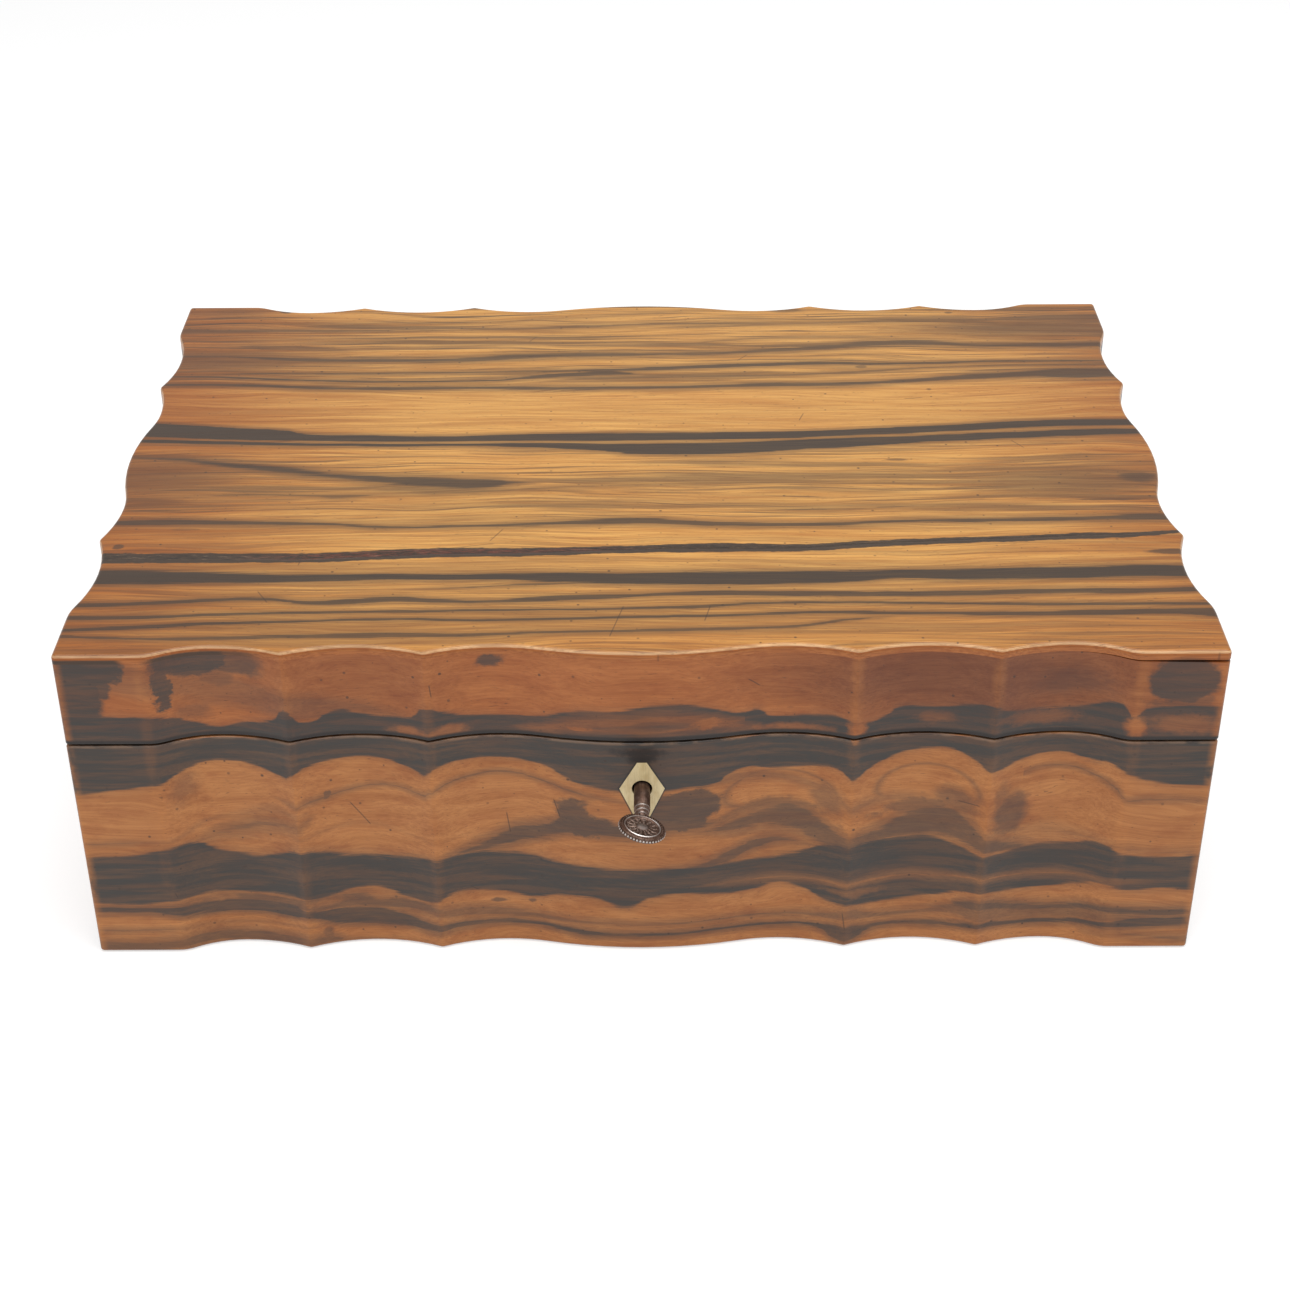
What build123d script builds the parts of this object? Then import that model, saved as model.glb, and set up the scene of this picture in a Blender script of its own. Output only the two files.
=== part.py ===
from build123d import *
import math
import os

# Antique work box of striped hardwood with carved, lobed sides. Millimetres, +Z up. The origin is
# the centre of the underside, +X is to the right and -Y is the front, where the key is.

# Box
width = 330.0
depth = 235.0
base_height = 76.0
lid_height = 31.0
wall_thickness = 14.0
top_board_thickness = 3.0
base_board_thickness = 8.0
base_board_rebate = 7.0
bottom_edge_round = 0.9
joint_edge_round = 0.5
top_edge_round = 1.3
corner_round = 1.2

# The top board's glue has let go at the front right corner, so a thin wedge is open there
open_joint_gap = 1.0
open_joint_along_front = 46.0
open_joint_along_side = 60.0

# The lid's walls stand on a narrower foot, and the gap outside it shows as a dark line all round
opening_line_height = 0.6
opening_line_depth = 2.4

# Carved outline: the corner flat and the step beside it, hollows with points between them, and a
# bow in the middle. Depths go inward from the corner flats.
front_corner_flat = 24.0
front_step_run = 20.0
front_bow_half_run = 41.0
front_point_count = 2
front_hollow_depth = 4.8
front_point_depth = 0.95
front_bow_depth = 0.3
side_corner_flat = 21.0
side_step_run = 24.5
side_bow_half_run = 32.0
side_point_count = 1
side_hollow_depth = 4.1
side_point_depth = 0.6
side_bow_depth = 0.1
bow_round_share = 0.7
step_round_share = 0.24
point_round = 1.6

# Hinges: leaves let into the rims, the barrel behind the back, stop flanges behind the barrel
hinge_offset = 81.0
hinge_length = 45.0
hinge_knuckles = 5
hinge_leaf_thickness = 1.4
hinge_leaf_on_rim = 10.5
hinge_axis_behind = 0.7
hinge_barrel_radius = 2.4
hinge_pin_radius = 1.1
hinge_running_gap = 0.05
hinge_knuckle_gap = 0.1
hinge_stop_reach = 6.2
hinge_stop_thickness = 1.2
hinge_stop_angle = 50.1
hinge_free_gap = 0.25
hinge_screw_inset = 7.7
hinge_screw_pitch = 15.0
hinge_web_start = 1.65

# Screws
screw_head_radius = 2.1
screw_shank_radius = 1.1
screw_length = 9.0
screw_slot_width = 0.5
screw_point_length = 2.2
lock_screw_length = 6.5

# Lock
lock_plate_half_width = 29.5
lock_plate_thickness = 1.2
lock_plate_height = 33.0
lock_case_half_width = 25.5
lock_case_height = 30.0
lock_case_depth = 7.4
lock_rim_thickness = 1.0
lock_cap_thickness = 0.8
selvage_thickness = 1.4
lock_screw_inset = 2.0
lock_screw_heights = (7.0, 27.0)
link_screw_inset = 4.6
key_drop = 16.0
staple_offset = 13.0
staple_width = 4.0
staple_depth = 4.8
staple_drop = 8.5
staple_leg = 1.1
staple_foot = 1.5
staple_eye_drop = 2.8
slot_clearance = 0.45
bolt_travel = 5.0
bolt_thickness = 2.0
bolt_finger_height = 3.4
bolt_clearance = 0.4
bolt_finger_length = 5.4
bolt_rest_gap = 0.6
bolt_leg_left = (24.0, 13.0)
bolt_leg_right = (9.0, 19.3)
bolt_leg_drop = 2.0
bolt_bridge_rise = 4.0
stump_offset = (15.6, 16.6)
stump_rise = 2.2
stump_radius = 1.0
stump_shoulder_radius = 1.8
stump_clearance = 0.1
talon_half_width = 4.5
spring_half_length = 7.0
spring_sag = 1.4
spring_thickness = 0.45

# Keyhole, escutcheon and key
keyhole_radius = 3.0
keyhole_slot_width = 2.3
keyhole_slot_drop = 7.2
escutcheon_half_width = 6.6
escutcheon_rise = 9.3
escutcheon_drop = 12.0
escutcheon_cut_half_width = 1.4
escutcheon_thickness = 1.0
key_barrel_radius = 2.4
key_bore_clearance = 0.07
key_bore_depth = 8.0
key_tip_gap = 0.3
key_proud = 11.6
drill_pin_radius = 1.2
drill_pin_length = 7.0
bit_reach = 6.5
bit_length = 4.5
bit_thickness = 1.6
bit_from_tip = 1.0
bit_rest_angle = -76.0
bow_width = 14.0
bow_length = 12.6
bow_thickness = 2.2
bow_rim_width = 1.3
bow_sink = 0.5
bow_boss_radius = 2.0
bow_edge_round = 0.66
bow_neck_length = 2.2
bow_neck_radii = (2.04, 1.0)
collar_radii = (3.0, 2.7)
collar_setback = 2.75
collar_length = 1.1
collar_round = 0.38

# Tray
tray_clearance = 0.7
tray_wall = 5.0
tray_floor_thickness = 3.0
tray_height = 28.0
tray_below_rim = 4.0
bearer_width = 6.0
bearer_height = 8.0
divider_thickness = 3.5
long_divider_offset = 38.0
outer_row_divider_offset = 60.0
middle_row_divider_offset = 75.0
compartment_lid_thickness = 3.0
compartment_lid_ledge = 2.0
compartment_lid_gap = 0.4
knob_radius = 3.4
knob_height = 8.0
knob_peg_radius = 1.6
knob_foot = (2.45, 0.8)
knob_neck_radius = 1.43
knob_head_start = 3.36
knob_brim_radius = 2.8
knob_widest_height = 5.45
knob_crown = (1.87, 7.5)
knob_dome = (1.16, 7.88)
knob_tip_radius = 0.5

# Worked out from the sizes above
half_width = width / 2
half_depth = depth / 2
inner_half_width = half_width - wall_thickness
inner_half_depth = half_depth - wall_thickness
lid_top = base_height + lid_height
frame_top = lid_top - top_board_thickness
key_height = base_height - key_drop
hinge_axis_y = half_depth + hinge_axis_behind
plate_back = -inner_half_depth
plate_front = plate_back - lock_plate_thickness
lock_front = plate_front - lock_case_depth
lock_middle = (lock_front + plate_front) / 2
tray_top = base_height - tray_below_rim
tray_bottom = tray_top - tray_height
tray_half_width = inner_half_width - tray_clearance
tray_half_depth = inner_half_depth - tray_clearance
lid_seat = tray_top - compartment_lid_thickness


def box_between(x0, x1, y0, y1, z0, z1):
    """A box given by its two limits along each axis."""
    centre = ((x0 + x1) / 2, (y0 + y1) / 2, (z0 + z1) / 2)
    return Pos(*centre) * Box(abs(x1 - x0), abs(y1 - y0), abs(z1 - z0))


def rod_x(x0, x1, y, z, radius):
    """A round rod along X."""
    return Pos((x0 + x1) / 2, y, z) * Rot(0, 90, 0) * Cylinder(radius, abs(x1 - x0))


def rod_y(x, y0, y1, z, radius):
    """A round rod along Y."""
    return Pos(x, (y0 + y1) / 2, z) * Rot(90, 0, 0) * Cylinder(radius, abs(y1 - y0))


# Carved outline


def level_arc(level, other):
    """Start, middle and end of an arc that leaves the first point parallel to the flats."""
    run = other[0] - level[0]
    rise = other[1] - level[1]
    radius = (run * run + rise * rise) / (2 * abs(rise))
    half_turn = math.asin(abs(run) / radius) / 2
    middle = (
        level[0] + math.copysign(radius * math.sin(half_turn), run),
        level[1] + math.copysign(radius * (1 - math.cos(half_turn)), rise),
    )
    return level, middle, other


def eased_step(start, end, share):
    """Two arcs from one level to the other. The share is the first arc's part of the run."""
    turn = (start[0] + share * (end[0] - start[0]), start[1] + share * (end[1] - start[1]))
    return [level_arc(start, turn), level_arc(end, turn)]


def half_side(half_length, flat, step_run, bow_run, points, hollow, point, bow):
    """Arcs of half a side from its middle to the corner flat, as (along, inward) points."""
    step_start = half_length - flat - step_run
    half_hollow = (step_start - bow_run) / (2 * points)
    foot = (bow_run, hollow)
    arcs = eased_step((0.0, bow), foot, bow_round_share)
    for _ in range(points):
        tip = (foot[0] + half_hollow, point)
        arcs.append(level_arc(foot, tip))
        foot = (tip[0] + half_hollow, hollow)
        arcs.append(level_arc(foot, tip))
    arcs += eased_step(foot, (step_start + step_run, 0.0), 1 - step_round_share)
    return arcs


def carved_outline():
    """The box's plan, with the points between the hollows rounded."""
    front = half_side(half_width, front_corner_flat, front_step_run, front_bow_half_run,
                      front_point_count, front_hollow_depth, front_point_depth,
                      front_bow_depth)
    side = half_side(half_depth, side_corner_flat, side_step_run, side_bow_half_run,
                     side_point_count, side_hollow_depth, side_point_depth, side_bow_depth)
    edges = []
    tips = []
    corners = []
    for end in (-1, 1):
        for hand in (-1, 1):
            for arc in front:
                edges.append(ThreePointArc(*[(hand * s, end * (half_depth - d)) for s, d in arc]))
            for arc in side:
                edges.append(ThreePointArc(*[(end * (half_width - d), hand * s) for s, d in arc]))
            corner = (hand * half_width, end * half_depth)
            corners.append(corner)
            edges.append(Line((corner[0] - hand * front_corner_flat, corner[1]), corner))
            edges.append(Line(corner, (corner[0], corner[1] - end * side_corner_flat)))
            tips += [(hand * arc[2][0], end * (half_depth - arc[2][1]))
                     for arc in front if arc[2][1] == front_point_depth]
            tips += [(end * (half_width - arc[2][1]), hand * arc[2][0])
                     for arc in side if arc[2][1] == side_point_depth]
    plan = make_face(edges)
    plan = fillet(vertices_at(plan, tips), point_round)
    return fillet(vertices_at(plan, corners), corner_round)


def vertices_at(face, places):
    """The face's vertices that lie on the given points."""
    near = corner_round / 10
    return [v for v in face.vertices()
            if any(math.hypot(v.X - x, v.Y - y) < near for x, y in places)]


def wall_ring(plan, bottom, top, bottom_round, top_round):
    """The four walls in one piece: the carved prism with its edges eased, less the inside."""
    ring = Pos(0, 0, bottom) * extrude(plan, top - bottom)
    if bottom_round:
        ring = fillet(ring.edges().filter_by_position(Axis.Z, bottom, bottom), bottom_round)
    if top_round:
        ring = fillet(ring.edges().filter_by_position(Axis.Z, top, top), top_round)
    inside = box_between(-inner_half_width, inner_half_width, -inner_half_depth, inner_half_depth,
                         bottom - 1, top + 1)
    return ring - inside


def mitre_wedge(side, bottom, top, inner_face):
    """The space of one wall: it ends on the mitre planes through the box's corners."""
    outward = wall_thickness
    inward = inner_face + 1
    x_far, x_near = half_width + outward, half_width - inward
    y_far, y_near = half_depth + outward, half_depth - inward
    if side in ("front", "back"):
        corners = [(-x_far, y_far), (x_far, y_far), (x_near, y_near), (-x_near, y_near)]
        if side == "front":
            corners = [(x, -y) for x, y in corners]
    else:
        corners = [(x_far, -y_far), (x_far, y_far), (x_near, y_near), (x_near, -y_near)]
        if side == "left":
            corners = [(-x, y) for x, y in corners]
    return Pos(0, 0, bottom - 1) * extrude(make_face(Polyline(*corners, close=True)),
                                           top - bottom + 2)


def mitred_walls(ring, bottom, top, inner_face):
    """The ring cut into four walls. The inner face is so far in from the box's flats."""
    return {side: ring & mitre_wedge(side, bottom, top, inner_face)
            for side in ("front", "back", "left", "right")}


# Screws


def wood_screw(length, slotted=True):
    """A countersunk screw that points down, its head's face at the origin."""
    head_height = screw_head_radius - screw_shank_radius
    profile = Polyline((0, 0), (screw_head_radius, 0), (screw_shank_radius, -head_height),
                       (screw_shank_radius, screw_point_length - length), (0, -length), close=True)
    screw = revolve(Plane.XZ * make_face(profile), Axis.Z)
    if slotted:
        screw -= Box(2 * screw_head_radius, screw_slot_width, head_height)
    return screw


def placed_screws(places, length, slotted=True):
    """Screws at (position, direction that the head faces)."""
    return [Plane(origin=position, z_dir=facing).location * wood_screw(length, slotted)
            for position, facing in places]


def hinge_screw_places(facing):
    """Three screws in each leaf, on the rim plane."""
    inset = hinge_axis_y - hinge_screw_inset
    return [((side * hinge_offset + step * hinge_screw_pitch, inset, base_height), (0, 0, facing))
            for side in (-1, 1) for step in (-1, 0, 1)]


def lock_screw_places():
    """Four screws through the ends of the back plate."""
    x = lock_plate_half_width - lock_screw_inset
    bottom = base_height - lock_plate_height
    return [((side * x, plate_back, bottom + rise), (0, 1, 0))
            for side in (-1, 1) for rise in lock_screw_heights]


def link_screw_places():
    """Two screws through the link plate, up into the lid."""
    x = lock_plate_half_width - link_screw_inset
    return [((side * x, lock_middle, base_height), (0, 0, -1)) for side in (-1, 1)]


# Hinges


def knuckle_spans(centre):
    """The stretch of each knuckle along X: even ones are the base leaf's, odd ones the lid's."""
    pitch = hinge_length / hinge_knuckles
    start = centre - hinge_length / 2
    return [(start + i * pitch + hinge_knuckle_gap / 2, start + (i + 1) * pitch - hinge_knuckle_gap / 2)
            for i in range(hinge_knuckles)]


def stop_flange(centre, up):
    """The flange behind the barrel that meets the other leaf's when the lid is fully open."""
    face = box_between(centre - hinge_length / 2, centre + hinge_length / 2,
                       hinge_barrel_radius + hinge_free_gap, hinge_stop_reach,
                       0, hinge_stop_thickness)
    return Pos(0, hinge_axis_y, base_height) * Rot(up * hinge_stop_angle, 0, 0) * (
        face if up > 0 else mirror(face, Plane.XY))


def hinge_leaf(centre, lid_side):
    """One leaf with its knuckles and stop flange."""
    up = 1 if lid_side else -1
    own = 1 if lid_side else 0
    spans = knuckle_spans(centre)
    leaf = box_between(centre - hinge_length / 2, centre + hinge_length / 2,
                       hinge_axis_y - hinge_leaf_on_rim - hinge_axis_behind, hinge_axis_y,
                       base_height, base_height + up * hinge_leaf_thickness)
    flange = stop_flange(centre, up)
    for index, (x0, x1) in enumerate(spans):
        if index % 2 != own:
            free = hinge_barrel_radius + hinge_free_gap
            leaf -= rod_x(x0 - hinge_knuckle_gap, x1 + hinge_knuckle_gap, hinge_axis_y,
                          base_height, free)
    for x0, x1 in spans[own::2]:
        leaf += rod_x(x0, x1, hinge_axis_y, base_height, hinge_barrel_radius)
        web = box_between(x0, x1, hinge_web_start, hinge_barrel_radius + hinge_free_gap,
                          0, up * hinge_stop_thickness)
        leaf += Pos(0, hinge_axis_y, base_height) * Rot(up * hinge_stop_angle, 0, 0) * web
    leaf += flange
    bore = hinge_pin_radius + (hinge_running_gap if lid_side else 0)
    leaf -= rod_x(centre - hinge_length, centre + hinge_length, hinge_axis_y, base_height, bore)
    places = [p for p in hinge_screw_places(-up) if abs(p[0][0] - centre) < hinge_length / 2]
    for screw in placed_screws(places, screw_length, slotted=False):
        leaf -= screw
    return leaf


def hinge_recess(centre, up):
    """What a wall loses to a hinge: the leaf's bed and room for the barrel."""
    bed = box_between(centre - hinge_length / 2, centre + hinge_length / 2,
                      hinge_axis_y - hinge_leaf_on_rim - hinge_axis_behind, half_depth + 1,
                      base_height - up, base_height + up * hinge_leaf_thickness)
    free = hinge_barrel_radius + hinge_free_gap
    room = box_between(centre - hinge_length / 2 - hinge_free_gap,
                       centre + hinge_length / 2 + hinge_free_gap,
                       hinge_axis_y - free, half_depth + 1, base_height - up, base_height + up * free)
    return bed + room


# Lock


def keyhole(y0, y1, radius=keyhole_radius):
    """The keyhole's space: a round for the barrel and a slot for the bit."""
    slot = box_between(-keyhole_slot_width / 2, keyhole_slot_width / 2, y0, y1,
                       key_height - keyhole_slot_drop, key_height)
    return rod_y(0, y0, y1, key_height, radius) + slot


def staple_slot(side):
    """The hole in the selvage that a staple drops through."""
    x = side * staple_offset
    half_x = staple_width / 2 + slot_clearance
    half_y = staple_depth / 2 + slot_clearance
    return box_between(x - half_x, x + half_x, lock_middle - half_y, lock_middle + half_y,
                       base_height - 2 * selvage_thickness, base_height + 1)


def lock_case():
    """Back plate with the selvage along its top, and the rim that holds the works."""
    bottom = base_height - lock_plate_height
    case_bottom = base_height - lock_case_height
    plate = box_between(-lock_plate_half_width, lock_plate_half_width, plate_front, plate_back,
                        bottom, base_height)
    selvage = box_between(-lock_plate_half_width, lock_plate_half_width, lock_front, plate_back,
                          base_height - selvage_thickness, base_height)
    rim = box_between(-lock_case_half_width, lock_case_half_width, lock_front, plate_front,
                      case_bottom, base_height)
    inner = lock_case_half_width - lock_rim_thickness
    rim -= box_between(-inner, inner, lock_front - 1, plate_front,
                       case_bottom + lock_rim_thickness, base_height)
    case = plate + selvage + rim
    for side in (-1, 1):
        case -= staple_slot(side)
    for screw in placed_screws(lock_screw_places(), lock_screw_length, slotted=False):
        case -= screw
    return case


def lock_cap():
    """The cover over the works, inside the rim, with the keyhole."""
    inner = lock_case_half_width - lock_rim_thickness
    cap = box_between(-inner, inner, lock_front, lock_front + lock_cap_thickness,
                      base_height - lock_case_height + lock_rim_thickness,
                      base_height - selvage_thickness)
    return cap - keyhole(lock_front - 1, lock_front + 2)


def bolt_outline():
    """The bolt from the front: two legs, a bridge over the key, and two fingers pointing right."""
    top = base_height - staple_drop + staple_foot + bolt_clearance + bolt_finger_height
    finger = top - bolt_finger_height
    under = base_height - staple_drop - bolt_clearance
    foot = key_height - bolt_leg_drop
    bridge = key_height + bolt_bridge_rise
    root = staple_offset - staple_width / 2 - bolt_rest_gap - bolt_finger_length
    left_root = root - 2 * staple_offset
    hump = -staple_offset + staple_width / 2 + slot_clearance
    left_out, left_in = -bolt_leg_left[0], -bolt_leg_left[1]
    right_in, right_out = bolt_leg_right
    return Polyline(
        (left_out, foot), (left_in, foot), (left_in, bridge), (right_in, bridge),
        (right_in, foot), (right_out, foot), (right_out, under), (root, under),
        (root, finger), (root + bolt_finger_length, finger), (root + bolt_finger_length, top),
        (hump, top), (hump, under), (left_root, under), (left_root, finger),
        (left_root + bolt_finger_length, finger), (left_root + bolt_finger_length, top),
        (left_out, top), close=True)


def lock_bolt():
    """The bolt that slides to the right through the staples, drawn back at rest."""
    back = lock_middle + bolt_thickness / 2
    bolt = Pos(0, back, 0) * extrude(Plane.XZ * make_face(bolt_outline()), bolt_thickness)
    middle = -bolt_travel / 2
    roof = key_height + bit_reach + bolt_clearance
    bolt -= box_between(middle - talon_half_width, middle + talon_half_width, back + 1,
                        back - bolt_thickness - 1, key_height, roof)
    rise = key_height + stump_rise
    slot_half = stump_radius + stump_clearance
    for x in (-stump_offset[0], stump_offset[1]):
        bolt -= box_between(x - bolt_travel, x, back + 1, back - bolt_thickness - 1,
                            rise - slot_half, rise + slot_half)
        for end in (x - bolt_travel, x):
            bolt -= rod_y(end, back + 1, back - bolt_thickness - 1, rise, slot_half)
    return bolt


def lock_stumps():
    """Two shouldered posts that guide the bolt and carry the cap."""
    shoulder_top = lock_middle + bolt_thickness / 2 + stump_clearance
    posts = []
    for x in (-stump_offset[0], stump_offset[1]):
        post = rod_y(x, plate_front, lock_front + lock_cap_thickness, key_height + stump_rise,
                     stump_radius)
        post += rod_y(x, plate_front, shoulder_top, key_height + stump_rise, stump_shoulder_radius)
        posts.append(post)
    return posts


def drill_pin():
    """The pin that the hollow key turns on."""
    end = plate_front - drill_pin_length
    pin = rod_y(0, plate_front, end, key_height, drill_pin_radius)
    return chamfer(pin.faces().sort_by(Axis.Y)[0].edges(), drill_pin_radius / 3)


def bolt_spring():
    """A bowed strip under the selvage that presses on the bolt."""
    ceiling = base_height - selvage_thickness
    radius = (spring_half_length ** 2 + spring_sag ** 2) / (2 * spring_sag)
    centre = ceiling - spring_sag + radius
    half = bolt_thickness / 2
    strip = rod_y(0, -half, half, 0, radius) - rod_y(0, -half, half, 0, radius - spring_thickness)
    strip &= box_between(-radius, radius, -half, half, -radius, ceiling - centre)
    return Pos(-bolt_travel / 2, lock_middle, centre) * strip


def link_plate():
    """The plate in the lid's rim, with two staples that hang into the lock."""
    plate = box_between(-lock_plate_half_width, lock_plate_half_width, lock_front, plate_back,
                        base_height, base_height + selvage_thickness)
    half = staple_depth / 2
    for side in (-1, 1):
        x = side * staple_offset
        staple = box_between(x - staple_width / 2, x + staple_width / 2, lock_middle - half,
                             lock_middle + half, base_height - staple_drop, base_height)
        low = staple.edges().filter_by(Axis.X).group_by(Axis.Z)[0]
        staple = fillet(low, staple_leg)
        eye_top = base_height - staple_eye_drop
        staple -= box_between(x - staple_width, x + staple_width, lock_middle - half + staple_leg,
                              lock_middle + half - staple_leg,
                              base_height - staple_drop + staple_foot, eye_top)
        plate += staple
    for screw in placed_screws(link_screw_places(), screw_length, slotted=False):
        plate -= screw
    return plate


def escutcheon_blank(y0, y1):
    """The lozenge with cut ends, as a prism along Y."""
    cut = escutcheon_cut_half_width
    wide = escutcheon_half_width
    top = key_height + escutcheon_rise
    bottom = key_height - escutcheon_drop
    outline = Polyline((-cut, top), (cut, top), (wide, key_height), (cut, bottom), (-cut, bottom),
                       (-wide, key_height), close=True)
    return Pos(0, y1, 0) * extrude(Plane.XZ * make_face(outline), y1 - y0)


def key():
    """The key, built along +Z from its tip with the bit along +X, then laid in the lock."""
    tip_y = plate_front - key_tip_gap
    outer_face = half_depth - front_bow_depth
    barrel_length = outer_face + tip_y + key_proud
    bow_centre = barrel_length + bow_length / 2 + collar_length
    barrel = Pos(0, 0, barrel_length / 2) * Cylinder(key_barrel_radius, barrel_length)
    bit = box_between(0, bit_reach, -bit_thickness / 2, bit_thickness / 2,
                      bit_from_tip, bit_from_tip + bit_length)
    shaft = barrel + bit
    for at, radius in zip((barrel_length - collar_setback, barrel_length), collar_radii):
        collar = Pos(0, 0, at) * Cylinder(radius, collar_length)
        shaft += fillet(collar.edges().filter_by(GeomType.CIRCLE), collar_round)
    shaft += Pos(0, 0, barrel_length + bow_neck_length / 2) * Cone(*bow_neck_radii,
                                                                   bow_neck_length)
    bore_radius = drill_pin_radius + key_bore_clearance
    shaft -= Pos(0, 0, key_bore_depth / 2) * Cylinder(bore_radius, key_bore_depth)
    bow = Pos(0, 0, bow_centre) * Rot(90, 0, 0) * bow_disc()
    upright = math.radians(bit_rest_angle)
    seat = Plane(origin=(0, tip_y, key_height), x_dir=(math.sin(upright), 0, math.cos(upright)),
                 z_dir=(0, -1, 0))
    return seat.location * (shaft + bow)


def bow_disc():
    """The oval bow, flat with a raised rim and a boss on both faces."""
    disc = extrude(Ellipse(bow_width / 2, bow_length / 2), bow_thickness / 2, both=True)
    disc = fillet(disc.edges(), bow_edge_round)
    inner = Ellipse(bow_width / 2 - bow_rim_width, bow_length / 2 - bow_rim_width)
    inner -= Circle(bow_boss_radius)
    for side in (-1, 1):
        floor = side * (bow_thickness / 2 - bow_sink)
        disc -= Pos(0, 0, floor) * extrude(inner, side * bow_thickness)
    return disc


# Base


def base_walls(plan):
    """The four base walls with their rebate, hinge beds, lock mortise and keyhole."""
    ring = wall_ring(plan, 0, base_height, bottom_edge_round, joint_edge_round)
    reach_x = inner_half_width + base_board_rebate
    reach_y = inner_half_depth + base_board_rebate
    ring -= box_between(-reach_x, reach_x, -reach_y, reach_y, -1, base_board_thickness)
    walls = mitred_walls(ring, 0, base_height, wall_thickness)
    for side in (-1, 1):
        walls["back"] -= hinge_recess(side * hinge_offset, -1)
    for screw in placed_screws(hinge_screw_places(1), screw_length, slotted=False):
        walls["back"] -= screw
    walls["front"] -= lock_mortise()
    walls["front"] -= keyhole(-half_depth - 1, lock_front + 1)
    return walls


def lock_mortise():
    """The space of the lock in the front wall: case, plate, selvage and screws."""
    case = box_between(-lock_case_half_width, lock_case_half_width, lock_front, plate_back + 1,
                       base_height - lock_case_height, base_height + 1)
    plate = box_between(-lock_plate_half_width, lock_plate_half_width, plate_front, plate_back + 1,
                        base_height - lock_plate_height, base_height + 1)
    selvage = box_between(-lock_plate_half_width, lock_plate_half_width, lock_front,
                          plate_back + 1, base_height - selvage_thickness, base_height + 1)
    space = case + plate + selvage
    for screw in placed_screws(lock_screw_places(), lock_screw_length, slotted=False):
        space += screw
    return space


def base_board():
    """The bottom, let into the walls' rebate."""
    reach_x = inner_half_width + base_board_rebate
    reach_y = inner_half_depth + base_board_rebate
    return box_between(-reach_x, reach_x, -reach_y, reach_y, 0, base_board_thickness)


def tray_bearer(side):
    """A strip on a side wall that the tray rests on."""
    return box_between(side * inner_half_width, side * (inner_half_width - bearer_width),
                       -inner_half_depth, inner_half_depth, tray_bottom - bearer_height, tray_bottom)


# Lid


def lid_walls(plan):
    """The four lid walls, with beds for the hinges and the link plate."""
    line_top = base_height + opening_line_height
    foot = wall_ring(offset(plan, -opening_line_depth, kind=Kind.INTERSECTION), base_height, line_top, 0, 0)
    ring = foot + wall_ring(plan, line_top, frame_top, joint_edge_round, 0) - open_joint()
    walls = mitred_walls(ring, base_height, frame_top, wall_thickness)
    for side in (-1, 1):
        walls["back"] -= hinge_recess(side * hinge_offset, 1)
    for screw in placed_screws(hinge_screw_places(-1), screw_length, slotted=False):
        walls["back"] -= screw
    walls["front"] -= box_between(-lock_plate_half_width, lock_plate_half_width, lock_front,
                                  plate_back + 1, base_height - 1, base_height + selvage_thickness)
    for screw in placed_screws(link_screw_places(), screw_length, slotted=False):
        walls["front"] -= screw
    return walls


def open_joint():
    """The wedge between the walls and the top board at the front right corner."""
    corner = Vector(half_width, -half_depth, frame_top)
    along = corner - Vector(open_joint_along_front, 0, 0)
    back = corner + Vector(0, open_joint_along_side, 0)
    low = corner - Vector(0, 0, open_joint_gap)
    slope = Plane(origin=along, x_dir=back - along, z_dir=(back - along).cross(low - along))
    block = box_between(along.X, half_width + 1, -half_depth - 1, back.Y,
                        frame_top - 2 * open_joint_gap, frame_top + open_joint_gap)
    return split(block, bisect_by=slope, keep=Keep.BOTTOM)


def lid_top_board(plan):
    """The top, to the same outline, with a rounded upper edge."""
    board = Pos(0, 0, frame_top) * extrude(plan, top_board_thickness)
    return fillet(board.edges().filter_by_position(Axis.Z, lid_top, lid_top), top_edge_round)


# Tray


def tray_walls():
    """Four mitred tray walls with a ledge for the compartment lids along the top."""
    ring = box_between(-tray_half_width, tray_half_width, -tray_half_depth, tray_half_depth,
                       tray_bottom, tray_top)
    inner_x = tray_half_width - tray_wall
    inner_y = tray_half_depth - tray_wall
    ring -= box_between(-inner_x, inner_x, -inner_y, inner_y, tray_bottom - 1, tray_top + 1)
    ledge_x = inner_x + compartment_lid_ledge
    ledge_y = inner_y + compartment_lid_ledge
    ring -= box_between(-ledge_x, ledge_x, -ledge_y, ledge_y, lid_seat, tray_top + 1)
    return mitred_walls(ring, tray_bottom, tray_top, wall_thickness + tray_clearance + tray_wall)


def tray_floor():
    """The tray's floor, between its walls."""
    inner_x = tray_half_width - tray_wall
    inner_y = tray_half_depth - tray_wall
    return box_between(-inner_x, inner_x, -inner_y, inner_y, tray_bottom,
                       tray_bottom + tray_floor_thickness)


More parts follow.
